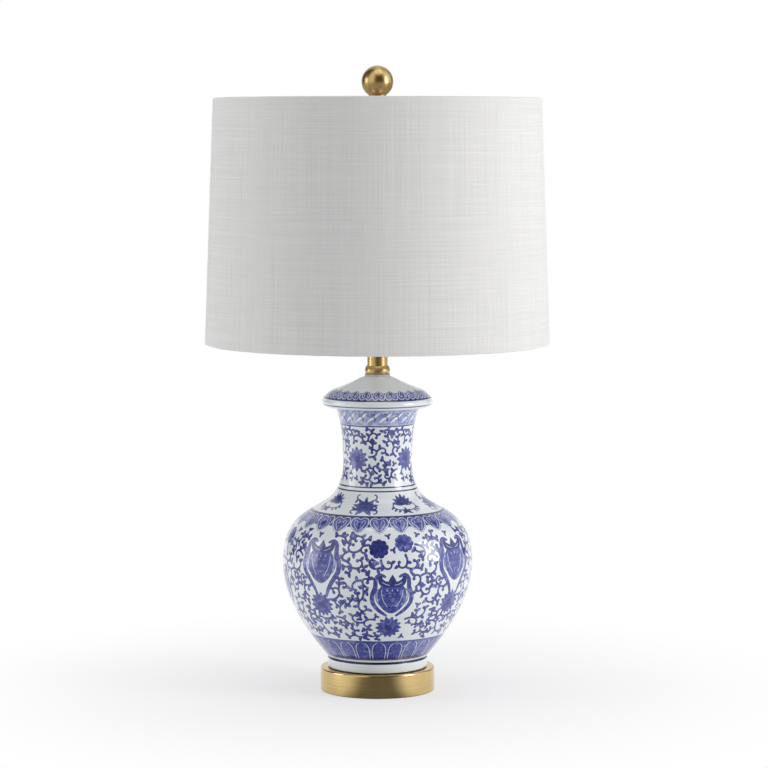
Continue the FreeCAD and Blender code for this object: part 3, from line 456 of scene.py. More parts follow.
def lotus_head(sheet, x, y, size=1.0, ribbon_drop=1.0):
    """A stylised lotus head in a frame of two ribbons."""
    k = sheet.scale(y) * size

    def at(px, py):
        return x + px * k, y + py * k

    for hand in (1, -1):
        ribbon = [(6, 17), (11, 19), (14.5, 15), (14.8, 8), (17.6, 1), (17.2, -7), (12.5, -14),
                  (7.5, -20 - 3 * ribbon_drop), (4.5, -25 - 7 * ribbon_drop)]
        path = smoothed([at(px * hand, py) for px, py in ribbon])
        swell = [max(math.sin(math.pi * i / (len(path) - 1)), 0) ** 0.6 for i in range(len(path))]
        stroke(sheet, path, [size * (1.2 + 2.2 * fuller) for fuller in swell])
        plain(sheet, path[2:-3], 0.45, DEEP)
        for px, py in path[::2]:
            sheet.block(px, py, 3.2 * k)
        wing = ((9.5, -10), (13.8, -5), (14.4, 2), (12.4, 6.5), (10.6, 3.5), (10.8, -3))
        blot(sheet, smoothed([at(px * hand, py) for px, py in wing], closed=True), PALE)
    for half, tone in ((HEAD_BODY, WASH), (HEAD_CROWN, DEEP)):
        blot(sheet, smoothed([at(*p) for p in both_sides(half)], closed=True), tone)
    for row, (cy, petals) in enumerate(((6.0, 3), (1.5, 4), (-3.5, 3), (-8.5, 2), (-13.0, 1))):
        for i in range(petals):
            cx = 4.6 * (i - (petals - 1) / 2)
            turns = [math.pi * t for t in (0, 0.25, 0.5, 0.75, 1)]
            arch = [at(cx + 2.3 * math.cos(t), cy - 3.2 * math.sin(t)) for t in turns]
            plain(sheet, arch, [0.35, 0.6, 0.8, 0.6, 0.35], LINE)
            plain(sheet, [at(cx, cy - 1.6), at(cx, cy + 0.2)], [0.7, 0.3], GROUND if row == 0 else DEEP)
    for hand in (1, -1):
        fan = [at(hand * px, py) for px, py in ((2.2, 9.6), (5.6, 10.6), (8.8, 12.4))]
        plain(sheet, fan, [0.35, 0.55, 0.35], GROUND)
        cheek = [at(hand * px, py) for px, py in ((9.6, 5.6), (8.9, -0.5), (7.0, -6.2), (3.8, -11))]
        plain(sheet, smoothed(cheek), 0.5, GROUND)
    for py in (-12, -5, 3, 10):
        sheet.block(*at(0, py), 11 * k)


# %% Scrolls that grow into the room that is left
STEM_W, STEM_END_W = 1.8, 1.15  # mm
CLEARANCE = 1.05  # mm of white that a scroll keeps from its neighbours
STEM_STEP, SHORTEST = 1.9, 7.0  # mm: between the points of a stem, and the shortest stem


def free_steps(sheet, path, low, high, reach):
    """How many points of a path run over free ground."""
    for i, (x, y) in enumerate(path):
        if i < 3:
            continue
        across = ((0, 0), (reach, 0), (-reach, 0), (0, reach), (0, -reach))
        if not low + reach < y < high - reach or not all(sheet.is_free(x + u, y + v) for u, v in across):
            return i
    return len(path)


def heading_of(a, b):
    return math.degrees(math.atan2(b[1] - a[1], b[0] - a[0]))


def grow_scrolls(sheet, tips, low, high, seed, longest=26.0, size=1.0):
    """Grows curling stems from the tips, each with leaves, until no more fit."""
    rng = Random(seed)
    made = 0
    while tips and made < 400:
        x, y, heading, hand = tips.pop(0)
        k = sheet.scale(y) * size
        best = []
        for _ in range(10):
            turn, length = rng.uniform(-35, 35), rng.uniform(SHORTEST, longest)
            steps = max(int(length / STEM_STEP), 5)
            sweep = rng.uniform(190, 300)
            path = bending((x, y), heading + turn, length * k, hand * 0.5 / k,
                           hand * (2 * sweep / length - 0.5) / k, steps)
            clear = free_steps(sheet, path, low, high, 1.7 * k)
            if clear * STEM_STEP >= SHORTEST * 0.8 and clear > len(best):
                best = path[:clear]
        if len(best) < 5:
            continue
        made += 1
        count = len(best)
        widths = [size * (STEM_W + (STEM_END_W - STEM_W) * i / (count - 1)) for i in range(count)]
        stroke(sheet, best, widths)
        blot(sheet, round_shape(*best[-1], 1.55 * k, 8), WASH, rim=0.45 * size)
        for i, (px, py) in enumerate(best):
            if i > 1 or made == 1:
                sheet.block(px, py, (STEM_W / 2 + 0.45 + CLEARANCE) * k)
        for share in (0.3, 0.55, 0.8):
            i = min(max(int(share * count), 1), count - 2)
            along = heading_of(best[i - 1], best[i + 1])
            outward = along - hand * rng.uniform(45, 80)
            if share != 0.55:
                leaf(sheet, *best[i], outward, rng.uniform(4.6, 6.6) * size, 2.9 * size, -hand)
            tips.append((*best[i], along - hand * rng.uniform(50, 85), -hand))
        tips.append((*best[count // 2], heading_of(best[0], best[-1]) + hand * 60, hand))
    return made


def scatter_sprigs(sheet, low, high, seed, size=1.0):
    """Fills the last bare spots with small three-leaved sprigs."""
    rng = Random(seed)
    made = 0
    for _ in range(500):
        x, y = rng.uniform(0, QUARTER), rng.uniform(low, high)
        k = sheet.scale(y) * size
        near = [(x + 3.1 * k * math.cos(a), y + 3.1 * k * math.sin(a)) for a in np.linspace(0, FULL_TURN, 10)]
        if all(low < py < high and sheet.is_free(px, py) for px, py in near + [(x, y)]):
            first = rng.uniform(0, 360)
            for turn in (0, 120, 240):
                leaf(sheet, x, y, first + turn, 3.6 * size, 2.0 * size, rng.choice((1, -1)))
            made += 1
    return made


print("scroll stems are", STEM_W, "to", STEM_END_W, "mm wide")

# %% [markdown]
# ## Laying out the jar
#
# From its foot the jar carries: a white foot ring, two dark lines, a band of upright lappets,
# the main field with its lotus heads, a band of ruyi heads, a field of single lotus sprays on
# the shoulder, two lines, the neck's scroll field, and a pale leaf band under the lid. The
# heights below are read from the photograph and lie on the frame's jar.

# %% Bands and lines
LAPPETS = (42.8, 66.0)  # mm above the table, as are the heights that follow
FIELD = (67.5, 187.5)
RUYI = (186.5, 200.4)
SHOULDER = (201.6, 223.6)
NECK = (230.2, 294.8)
MOUTH_BAND = (296.6, 314.0)
LINES = (37.4, 42.0, 201.0, 224.8, 229.0, 295.6)
LINE_W = 1.35


def band(sheet, low, high, tone):
    """A plain band right round the jar, with points close enough to stay round."""
    y0, y1 = sheet.row(low), sheet.row(high)
    xs = [QUARTER * i / COLUMNS for i in range(COLUMNS + 1)]
    sheet.shapes.append(([(x, y0) for x in xs] + [(x, y1) for x in xs[::-1]], tone))


# %% The lappets at the foot
def lappet_band(sheet, count=6):
    """Upright lappets, as white outlines in a wash that is darker at its foot."""
    band(sheet, *LAPPETS, WASH)
    band(sheet, LAPPETS[0], LAPPETS[0] + 2.4, DEEP)
    foot, top = sheet.row(LAPPETS[0] + 1.2), sheet.row(LAPPETS[1] - 3.6)
    pitch = QUARTER / count
    for i in range(count):
        middle = (i + 0.5) * pitch
        for half, tone, width in ((0.40, GROUND, 0.55), (0.30, DEEP, 0.5)):
            side = [(1, 0), (1.05, 0.45), (0.92, 0.8), (0.5, 1)]
            arch = [(middle + half * pitch * out, foot + (top - foot) * up)
                    for out, up in [(-out, up) for out, up in side] + side[::-1]]
            plain(sheet, smoothed(arch), width, tone)
    band(sheet, LAPPETS[1] - 1.3, LAPPETS[1] - 0.7, DEEP)


# %% The ruyi heads
def ruyi_head(sheet, x, top, width, drop, hand):
    """A ruyi head: a heart-shaped cloud that hangs from a line, with two curls inside."""
    half = width / 2
    outline = [(0, 1), (0.45, 0.84), (0.86, 0.6), (0.98, 0.34), (0.8, 0.1), (0.4, 0.06), (0, 0.2)]
    points = [(x + half * px, top + hand * drop * py) for px, py in both_sides(outline)]
    points = smoothed(points, closed=True)
    k = sheet.scale(top)
    sheet.paint(grown(points, 1.15 * k), LINE)
    sheet.paint(grown(points, 0.75 * k), GROUND)
    sheet.paint(points, WASH)
    curl = ((0.5, 0.9), (2.2, 0.66), (3.3, 0.42), (2.4, 0.24), (1.2, 0.34), (1.5, 0.48))
    for side in (1, -1):
        path = [(x + side * px * half / 5.2, top + hand * py * drop) for px, py in curl]
        plain(sheet, smoothed(path), 0.5, GROUND)
    plain(sheet, [(x, top + hand * drop * t) for t in (0.45, 0.6, 0.78)], [0.8, 1.5, 0.6], LINE)


def ruyi_row(sheet, line, drop, hand, wedge, count=6):
    """Ruyi heads that stand on a line (hand 1) or hang from it (-1), with a wedge in each gap."""
    pitch = QUARTER / count
    wide, narrow, deep = wedge
    side = [(wide, 0), (narrow, 0.62), (0, deep)]
    for i in range(count):
        gap = (i + 1) * pitch
        points = [(gap + pitch * out, line + hand * drop * up)
                  for out, up in [(-out, up) for out, up in side] + side[-2::-1]]
        blot(sheet, smoothed(points), DEEP, rim=0.3)
    for i in range(count):
        ruyi_head(sheet, (i + 0.5) * pitch, line, pitch * 0.92, drop, hand)


def ruyi_band(sheet):
    band(sheet, RUYI[1] - 5.0, RUYI[1], DEEP)
    foot, top = (sheet.row(z) for z in RUYI)
    ruyi_row(sheet, top, top - foot, -1, (0.3, 0.12, 0.7))


# %% The lotus sprays on the shoulder
def shoulder_band(sheet):
    """Single lotus sprays: half-open and full ones in turn."""
    low, high = (sheet.row(z) for z in SHOULDER)
    for i, full in enumerate((True, False)):
        x = QUARTER * (0.25 + 0.5 * i)
        middle = (low + high) / 2
        k = sheet.scale(middle)
        if full:
            lotus(sheet, x, middle, 12.6, WASH, 150, 9)
            for sx, sy in ((-1, -1), (1, -1), (-1, 1), (1, 1)):
                start = (x + 7.4 * k * sx, middle + 5.6 * k * sy)
                first, last = sx * sy * 2 / k, sx * sy * 24 / k
                path = bending(start, 90 - 90 * sx + sx * sy * 20, 13.0 * k, first, last, 11)
                stroke(sheet, path, [1.2] * 12, DEEP, rim=0.2)
                leaf(sheet, *path[3], 90 - 90 * sx - sx * sy * 55, 4.6, 2.1, 1)
        else:
            lotus(sheet, x, middle + 4.0 * k, 12.0, WASH, 80, 7)
            lotus(sheet, x - 1.5 * k, middle - 9.6 * k, 6.0, DEEP, 120, 5)
            for sx in (1, -1):
                start = (x + 3.6 * k * sx, middle - 9.2 * k)
                path = bending(start, 90 - 90 * sx, 17 * k, sx * 2 / k, sx * 15 / k, 13)
                stroke(sheet, path, [1.2] * 14, DEEP, rim=0.2)
                for j in (3, 6, 9):
                    leaf(sheet, *path[j], 90 - 90 * sx - sx * 70, 4.8, 2.1, sx)


# %% Paint the bands
band(jar_sheet, jar_sheet.z[0], jar_sheet.z[-1], GROUND)
lappet_band(jar_sheet)
ruyi_band(jar_sheet)
shoulder_band(jar_sheet)
for height in LINES:
    band(jar_sheet, height - LINE_W / 2, height + LINE_W / 2, LINE)
band(jar_sheet, LINES[0] - LINE_W, LINES[0] + LINE_W, LINE)
print("bands:", len(jar_sheet.shapes), "outlines")


# %% The main field
LOW_X, HIGH_X = QUARTER * 0.5, 0.0  # a low head in the sheet's middle, a high one on its edge


def main_field(sheet):
    low, high = (sheet.row(z) for z in FIELD)
    lotus_head(sheet, HIGH_X, sheet.row(154.0), 1.3, 0.6)
    lotus_head(sheet, LOW_X, sheet.row(119.5), 1.22, -0.6)
    rosette(sheet, HIGH_X - 3, sheet.row(106.5), 14.4, 14, 0.26, WASH, 6, pointed=True)
    rosette(sheet, LOW_X - 2, sheet.row(82.5), 14.0, 14, 0.26, WASH, 0, pointed=True)
    rosette(sheet, LOW_X - 14, sheet.row(170.5), 10.4, 9, 0.16, DEEP, 10)
    rosette(sheet, LOW_X + 14, sheet.row(176.0), 10.0, 9, 0.16, WASH, 35)
    tips = [(x % QUARTER, sheet.row(z), heading, hand) for x, z, heading, hand in (
        (LOW_X - 24, 174, 170, 1), (LOW_X + 26, 174, 0, -1), (LOW_X - 12, 159, 250, 1),
        (LOW_X + 14, 164, 300, -1), (LOW_X - 25, 128, 150, -1), (LOW_X + 25, 128, 30, 1),
        (LOW_X - 18, 92, 150, 1), (LOW_X + 17, 92, 30, -1), (HIGH_X + 15, 114, 20, 1),
        (HIGH_X - 19, 114, 160, -1), (HIGH_X + 26, 158, 20, -1), (HIGH_X - 26, 158, 160, 1),
        (HIGH_X + 13, 94, 330, -1), (HIGH_X - 17, 94, 210, 1))]
    stems = grow_scrolls(sheet, tips, low, high, seed=4)
    return stems, scatter_sprigs(sheet, low, high, seed=2)


print("main field: stems and sprigs", main_field(jar_sheet))


# %% The neck
def neck_field(sheet):
    low, high = (sheet.row(z) for z in NECK)
    rosette(sheet, 0.0, sheet.row(259.0), 13.4, 12, 0.3, WASH, pointed=True)
    tips = [(x * QUARTER, sheet.row(z), heading, hand) for x, z, heading, hand in (
        (0.24, 262, 30, 1), (0.76, 262, 150, -1), (0.22, 248, 330, -1), (0.78, 248, 210, 1),
        (0.4, 270, 200, 1), (0.6, 270, 340, -1), (0.4, 244, 160, -1), (0.6, 244, 20, 1))]
    stems = grow_scrolls(sheet, tips, low, high, seed=11, longest=24, size=0.86)
    return stems, scatter_sprigs(sheet, low, high, seed=5, size=0.85)


def leaf_band(sheet, count=5):
    """Slanting white leaves on a pale wash, with small dark curls between them."""
    band(sheet, *MOUTH_BAND, PALE)
    low, high = (sheet.row(z) for z in MOUTH_BAND)
    pitch, rise, k = QUARTER / count, high - low, sheet.scale(low)
    for i in range(count):
        x = (i + 0.5) * pitch
        path = bending((x - 0.42 * pitch, low + 0.14 * rise), 52, 1.12 * rise, -1.6, 1.7, 9)
        path = [p for p in path if p[1] < high - 0.6 * k]
        widths = [0.5 + 2.6 * math.sin(math.pi * j / (len(path) - 1)) for j in range(len(path))]
        stroke(sheet, path, widths, GROUND, rim=0.35, rim_tone=WASH)
        plain(sheet, bending((x + 0.3 * pitch, low + 0.3 * rise), 80, 0.5 * rise, 2, 14, 8), 0.9, LINE)
        plain(sheet, bending((x + 0.02 * pitch, low + 0.72 * rise), 20, 0.3 * rise, -4, -18, 7), 0.8, LINE)


print("neck: stems and sprigs", neck_field(jar_sheet))
leaf_band(jar_sheet)
print("jar:", len(jar_sheet.shapes), "outlines,", sum(len(s[0]) for s in jar_sheet.shapes), "points")

# %% [markdown]
# ## Cutting the sheet and rolling it up
#
# The triangulation returns, for each small face, which outlines it lies in. The last one
# painted wins. A loose grid of points keeps the bare ground from being spanned by long
# triangles, which would cut the corner of the round jar.

# %% Cut the sheet along its outlines
LOOSE_COLUMNS = 24  # points across the bare ground


def cut(sheet, low, high):
    """Flat triangles between two heights, each with the tone of the last shape over it."""
    foot, top = sheet.row(low), sheet.row(high)
    rows = [float(y) for y in sheet.y if foot + 0.5 < y < top - 0.5]
    columns = [QUARTER * i / COLUMNS for i in range(COLUMNS + 1)]
    sides = [(x, foot) for x in columns] + [(QUARTER, y) for y in rows]
    sides += [(x, top) for x in columns[::-1]] + [(0.0, y) for y in rows[::-1]]
    points, faces, tones = list(sides), [list(range(len(sides)))], [GROUND]
    for outline, tone in sheet.shapes:
        heights = [y for _, y in outline]
        if max(heights) > foot and min(heights) < top:
            faces.append(list(range(len(points), len(points) + len(outline))))
            points += outline
            tones.append(tone)
    for j, y in enumerate(rows):
        points += [(QUARTER * (i + 0.5 * (j % 2)) / LOOSE_COLUMNS, y) for i in range(1, LOOSE_COLUMNS)]
    verts, _, tris, _, _, owners = delaunay_2d_cdt([Vector(p) for p in points], [], faces, 0, 1e-4, True)
    kept = [(tri, tones[max(own)]) for tri, own in zip(tris, owners) if 0 in own]
    used = sorted({i for tri, _ in kept for i in tri})
    new = {old: i for i, old in enumerate(used)}
    return [verts[i] for i in used], [[new[i] for i in tri] for tri, _ in kept], [tone for _, tone in kept]


def painted_quarter(name, sheet, low, high):
    """The cut sheet, rolled up into a quarter of the skin."""
    flat, tris, tones = cut(sheet, low, high)
    flat = np.array([v[:] for v in flat])
    turn = flat[:, 0] / SHEET_R
    r, z = (np.interp(flat[:, 1], sheet.y, column) * MM for column in (sheet.r, sheet.z))
    mesh = bpy.data.meshes.new(name)
    mesh.from_pydata(np.stack([r * np.sin(turn), -r * np.cos(turn), z], axis=1).tolist(), [], tris)
    mesh.attributes.new("paint", "FLOAT", "FACE").data.foreach_set("value", tones)
    mesh.shade_smooth()
    return mesh


# %% The rest of the outline, which the painter doesn't see
def coming_down(path, height):
    """Where a path first comes down through a height: the last index above it, and the point."""
    for i, ((ra, za), (rb, zb)) in enumerate(zip(path, path[1:])):
        if za >= height > zb:
            return i, (ra + (rb - ra) * (za - height) / (za - zb), height)


def unseen_path(node, sheet, low, high):
    """From the painted skin's top edge, over the rim and through the inside, to its foot."""
    loop = [(r / MM, z / MM) for r, z in outline_of(node)]
    if not is_anticlockwise(loop):
        loop.reverse()

    def nearest(corner):
        return min(range(len(loop)), key=lambda i: math.dist(loop[i], corner))

    top, foot = nearest((sheet.r[-1], sheet.z[-1])), nearest((sheet.r[0], sheet.z[0]))
    path = (loop[top:] + loop[:top])[:(foot - top) % len(loop) + 1]
    if high < sheet.z[-1]:
        i, inside = coming_down(path, high)
        path = [(float(np.interp(high, sheet.z, sheet.r)), high), inside] + path[i + 1:]
    if low > sheet.z[0]:
        i, inside = coming_down(path, low)
        path = path[:i + 1] + [inside, (float(np.interp(low, sheet.z, sheet.r)), low)]
    return [(r * MM, z * MM) for r, z in path]


unseen = unseen_path("jar_body", jar_sheet, jar_sheet.z[0], jar_sheet.z[-1])
print("jar's unseen outline:", len(unseen), "points")

# %% [markdown]
# ## Four quarters make the skin
#
# A Geometry Nodes group turns copies of the painted quarter round the axis, adds the unseen
# rest and welds them. Its inputs have names, so that the same group serves jar and lid.


# %% A helper that adds nodes and links them
class Wiring:
    """Adds nodes to a tree and links them. Inputs go by name or number; a socket is linked."""

    def __init__(self, tree):
        self.tree = tree

    def fill(self, made, inputs):
        for key, value in inputs.items():
            if isinstance(value, bpy.types.NodeSocket):
                self.tree.links.new(value, made.inputs[key])
            else:
                made.inputs[key].default_value = value
        return made

    def node(self, kind, inputs=None, **settings):
        made = self.tree.nodes.new(kind)
        for key, value in settings.items():
            setattr(made, key, value)
        return self.fill(made, inputs or {})

    def give(self, kind, inputs=None, **settings):
        """The first output of a new node."""
        return self.node(kind, inputs, **settings).outputs[0]

    def calc(self, operation, *values):
        return self.give("ShaderNodeMath", dict(enumerate(values)), operation=operation)

    def plus(self, a, b):
        return self.calc("ADD", a, b)

    def minus(self, a, b):
        return self.calc("SUBTRACT", a, b)

    def times(self, a, b):
        return self.calc("MULTIPLY", a, b)

    def larger(self, a, b):
        return self.calc("MAXIMUM", a, b)

    def vector(self, *parts):
        return self.give("ShaderNodeCombineXYZ", dict(enumerate(parts)))

    def joined(self, *parts):
        both = self.node("GeometryNodeJoinGeometry")
        for part in parts:
            self.tree.links.new(part, both.inputs[0])
        return both.outputs[0]

    def coat(self, result, geometry, given):
        """The end of a geometry group: its material input goes on all of the geometry."""
        coated = {"Geometry": geometry, "Material": given["Material"]}
        self.fill(result, {0: self.give("GeometryNodeSetMaterial", coated)})

    def remap(self, value, *ends, soft=False):
        """A value carried from one range to another: from low, from high, to low, to high."""
        kind = "SMOOTHSTEP" if soft else "LINEAR"
        return self.give("ShaderNodeMapRange", dict(enumerate((value, *ends))), interpolation_type=kind)


# %% A group with named inputs, and an object made by one
def new_group(name, kind, inputs, outputs):
    """A node group with its inputs (name, type, value) and outputs (name, type)."""
    group = bpy.data.node_groups.new(name, kind)
    for label, socket_type, value in inputs:
        socket = group.interface.new_socket(label, in_out="INPUT", socket_type="NodeSocket" + socket_type)
        if value is not None:
            socket.default_value = value
    for label, socket_type in outputs:
        group.interface.new_socket(label, in_out="OUTPUT", socket_type="NodeSocket" + socket_type)
    wire = Wiring(group)
    return group, wire, wire.node("NodeGroupInput").outputs, wire.node("NodeGroupOutput")


def made_by_nodes(name, mesh, group, settings):
    """The object that a geometry node group makes of a mesh, with the modifier applied."""
    piece = add_object(name, mesh)
    modifier = piece.modifiers.new("nodes", "NODES")
    modifier.node_group = group
    for item in group.interface.items_tree:
        if item.item_type == "SOCKET" and item.in_out == "INPUT" and item.name in settings:
            modifier[item.identifier] = settings[item.name]
    piece.update_tag()
    shaped = piece.evaluated_get(bpy.context.evaluated_depsgraph_get())
    result = bpy.data.meshes.new_from_object(shaped)
    piece.modifiers.remove(modifier)
    piece.data = result
    return piece


# %% The group that turns the copies
def turned_copies_group():
    group, wire, given, result = new_group(
        "Turned copies", "GeometryNodeTree",
        [("Geometry", "Geometry", None), ("Copies", "Int", 4), ("First angle", "Float", 0.0),
         ("Rest", "Object", None), ("Material", "Material", None)], [("Geometry", "Geometry")])
    line = wire.give("GeometryNodeMeshLine", {"Count": given["Copies"], "Offset": (0, 0, 0)})
    each = wire.calc("DIVIDE", FULL_TURN, given["Copies"])
    spin = wire.vector(0, 0, wire.times(wire.give("GeometryNodeInputIndex"), each))
    copies = wire.give("GeometryNodeInstanceOnPoints", {
        "Points": line, "Instance": given["Geometry"], "Rotation": spin})
    real = wire.give("GeometryNodeRealizeInstances", {0: copies})
    rest = wire.node("GeometryNodeObjectInfo", {"Object": given["Rest"]}).outputs["Geometry"]
    both = wire.joined(rest, real)
    welded = wire.give("GeometryNodeMergeByDistance", {"Geometry": both, "Distance": 2 * NEAR})
    placed = wire.give("GeometryNodeTransform", {
        "Geometry": welded, "Rotation": wire.vector(0, 0, given["First angle"])})
    wire.coat(result, placed, given)
    return group


turned_copies = turned_copies_group()
print("turned copies:", len(turned_copies.nodes), "nodes")


# %% Exact normals, and a map that unrolls a round piece
def coordinates(mesh):
    place = np.empty(len(mesh.vertices) * 3)
    mesh.vertices.foreach_get("co", place)
    return place.reshape(-1, 3)


def set_painted_normals(mesh, sheet):
    """Normals of the smooth jar on the painted side, so the brush outlines don't show as facets."""
    x, y, z = coordinates(mesh).T
    radius = np.hypot(x, y)
    skin = np.abs(radius - np.interp(z, sheet.z * MM, sheet.r * MM)) < 2 * NEAR
    slope = np.interp(z, sheet.z * MM, np.gradient(sheet.r, sheet.z))
    long = np.hypot(1, slope) * np.maximum(radius, 1e-9)
    normals = np.stack([x / long, y / long, -slope * radius / long], axis=1)
    normals[~skin] = 0
    mesh.normals_split_custom_set_from_vertices(normals.tolist())


def unroll(mesh, loop, seam=math.pi / 2):
    """A map named OFBake: the turn round the axis, against the way along the outline."""
    points = np.array(loop + loop[:1])
    x, y, z = coordinates(mesh).T
    radius = np.hypot(x, y)
    steps = np.hypot(*np.diff(points, axis=0).T)
    along = np.concatenate([[0], np.cumsum(steps)]) / steps.sum()
    best, share = np.full(len(z), 1e9), np.zeros(len(z))
    for i, step in enumerate(steps):
        (ra, za), (rb, zb) = points[i], points[i + 1]
        t = np.clip(((radius - ra) * (rb - ra) + (z - za) * (zb - za)) / max(step, 1e-12) ** 2, 0, 1)
        gap = np.hypot(ra + t * (rb - ra) - radius, za + t * (zb - za) - z)
        nearer = gap < best - 1e-9
        best[nearer], share[nearer] = gap[nearer], (along[i] + t * (along[i + 1] - along[i]))[nearer]
    turn = (np.arctan2(y, x) - seam) / FULL_TURN % 1.0
    corner = np.empty(len(mesh.loops), int)
    start, total = np.empty((2, len(mesh.polygons)), int)
    mesh.loops.foreach_get("vertex_index", corner)
    mesh.polygons.foreach_get("loop_start", start)
    mesh.polygons.foreach_get("loop_total", total)
    place = np.stack([turn[corner], share[corner]], axis=1)
    for axis in (0, 1):
        value = place[:, axis]
        low, high = np.minimum.reduceat(value, start), np.maximum.reduceat(value, start)
        split = np.repeat(high - low > 0.5, total)
        value[split & (value < 0.25)] += 1.0
    mesh.uv_layers.new(name="OFBake").data.foreach_set("uv", np.clip(place, 0, 1).ravel())

# %% [markdown]
# ## Shader groups
#
# Each pattern has its own group, which gives out only colours and values. The Principled shader
# stays in the material, with its constant settings on its own sockets.


# %% Colours
def srgb(red, green, blue):
    """A colour read on screen, 0 to 255, as the linear value that shaders take."""
    def linear(c):
        c /= 255
        return c / 12.92 if c <= 0.04045 else ((c + 0.055) / 1.055) ** 2.4

    return (linear(red), linear(green), linear(blue), 1.0)


def mixed(wire, share, a, b):
    return wire.node("ShaderNodeMix", {0: share, 6: a, 7: b}, data_type="RGBA").outputs[2]


def noise(wire, vector, scale, detail=2.0, kind="3D"):
    settings = {"Vector": vector, "Scale": scale, "Detail": detail}
    return wire.give("ShaderNodeTexNoise", settings, noise_dimensions=kind)


def object_place(wire):
    return wire.node("ShaderNodeTexCoord").outputs["Object"]


def turn_from_front(wire, x, y):
    """The turn round the lamp's axis, in radians: 0 towards the camera, and to the right from there."""
    return wire.calc("ARCTAN2", x, wire.times(y, -1.0))


def round_place(wire):
    """Distance from the lamp's axis, turn from the front, and height."""
    x, y, z = wire.node("ShaderNodeSeparateXYZ", {0: object_place(wire)}).outputs
    radius = wire.calc("SQRT", wire.plus(wire.times(x, x), wire.times(y, y)))
    return radius, turn_from_front(wire, x, y), z


# %% Cobalt brushwork under a glaze
def cobalt_group():
    """The paint's tone picks the colour; it pools unevenly, and bare ground stays bare."""
    group, wire, given, result = new_group(
        "Cobalt brushwork", "ShaderNodeTree",
        [("Paint", "Float", 0.0), ("Ground", "Color", srgb(238, 241, 244)),
         ("Pale", "Color", srgb(158, 168, 210)), ("Wash", "Color", srgb(76, 84, 166)),
         ("Line", "Color", srgb(30, 32, 96))],
        [("Color", "Color"), ("Tone", "Float")])
    place = object_place(wire)
    pooled = wire.times(wire.minus(noise(wire, place, 260, 3), 0.5), 0.75)
    broad = wire.times(wire.minus(noise(wire, place, 55, 1), 0.5), 0.35)
    painted = wire.calc("GREATER_THAN", given["Paint"], 0.1)
    tone = wire.plus(given["Paint"], wire.times(painted, wire.plus(pooled, broad)))
    tone = wire.larger(tone, wire.times(painted, 0.14))
    colour = mixed(wire, noise(wire, place, 18, 2), given["Ground"], srgb(226, 232, 236))
    for low, high, name in ((0.0, 0.25, "Pale"), (0.25, 0.5, "Wash"), (0.5, 0.95, "Line")):
        colour = mixed(wire, wire.remap(tone, low, high), colour, given[name])
    wire.fill(result, {"Color": colour, "Tone": tone})
    return group


cobalt = cobalt_group()
print("cobalt brushwork:", len(cobalt.nodes), "nodes")


# %% Lines that a lathe or a brush leaves round a turned piece
def turned_lines_group():
    group, wire, given, result = new_group(
        "Turned lines", "ShaderNodeTree", [("Per metre", "Float", 2500.0)],
        [("Lines", "Float"), ("Clouds", "Float")])
    radius, turn, height = round_place(wire)
    across = [wire.times(part, given["Per metre"]) for part in (radius, height)]
    place = wire.vector(*across, wire.times(turn, 1.2))
    wire.fill(result, {"Lines": noise(wire, place, 1.0, 3), "Clouds": noise(wire, object_place(wire), 35, 2)})
    return group


turned_lines = turned_lines_group()
print("turned lines:", len(turned_lines.nodes), "nodes")


# %% Linen: threads both ways, with thicker ones here and there
CLOTH_R = 0.184  # m: the shade's middle radius, at which the weave shows true sizes


def linen_group():
    group, wire, given, result = new_group(
        "Linen weave", "ShaderNodeTree", [("Thread", "Float", 0.0009)],
        [("Tone", "Float"), ("Height", "Float")])
    _, turn, up = round_place(wire)
    along = wire.times(turn, CLOTH_R)

    def streaks(along_scale, up_scale, detail):
        place = wire.vector(wire.times(along, along_scale), wire.times(up, up_scale))
        return noise(wire, place, 1.0, detail, "2D")

    fine = wire.plus(streaks(7, 1000, 4), streaks(1000, 6, 4))
    broad = wire.plus(streaks(3, 260, 3), streaks(260, 3, 3))
    tone = wire.times(wire.plus(fine, wire.times(broad, 0.2)), 1 / 2.4)
    phases = [wire.calc("DIVIDE", wire.times(part, math.pi), given["Thread"]) for part in (along, up)]
    waves = wire.times(*(wire.calc("ABSOLUTE", wire.calc("SINE", phase)) for phase in phases))
    wire.fill(result, {"Tone": tone, "Height": wire.plus(wire.times(waves, 0.5), tone)})
    return group


linen_weave = linen_group()
print("linen weave:", len(linen_weave.nodes), "nodes")

# %% [markdown]
# ## Materials
#
# Each family of finishes has one function, and each finish its own values. The record's slots
# give the names.


# %% Build a material from a few parts
def new_material(name):
    made = bpy.data.materials.new(name)
    made.use_nodes = True
    return made, Wiring(made.node_tree), made.node_tree.nodes["Principled BSDF"]


def use_group(wire, group, inputs=None):
    return wire.node("ShaderNodeGroup", inputs, node_tree=group).outputs


def bump(wire, height, distance):
    return wire.give("ShaderNodeBump", {"Height": height, "Distance": distance, "Strength": 1.0})


def spread(wire, value, low, high):
    """A noise's usual values, 0.3 to 0.7, stretched over a range."""
    return wire.remap(value, 0.3, 0.7, low, high)


# %% Porcelain
def porcelain():
    made, wire, shader = new_material("painted_porcelain")
    paint = wire.node("ShaderNodeAttribute", attribute_name="paint")
    colour = use_group(wire, cobalt, {"Paint": paint.outputs["Fac"]})
    place = object_place(wire)
    ripple = wire.minus(noise(wire, place, 45, 2), wire.times(colour["Tone"], 0.08))
    wire.fill(shader, {
        "IOR": 1.52, "Coat Weight": 0.6, "Coat Roughness": 0.05, "Coat IOR": 1.5,
        "Base Color": colour["Color"], "Normal": bump(wire, ripple, 0.0004),
        "Roughness": spread(wire, noise(wire, place, 40, 2), 0.16, 0.24)})
    return made


materials = {"painted_porcelain": porcelain()}
print("porcelain:", len(materials["painted_porcelain"].node_tree.nodes), "nodes")


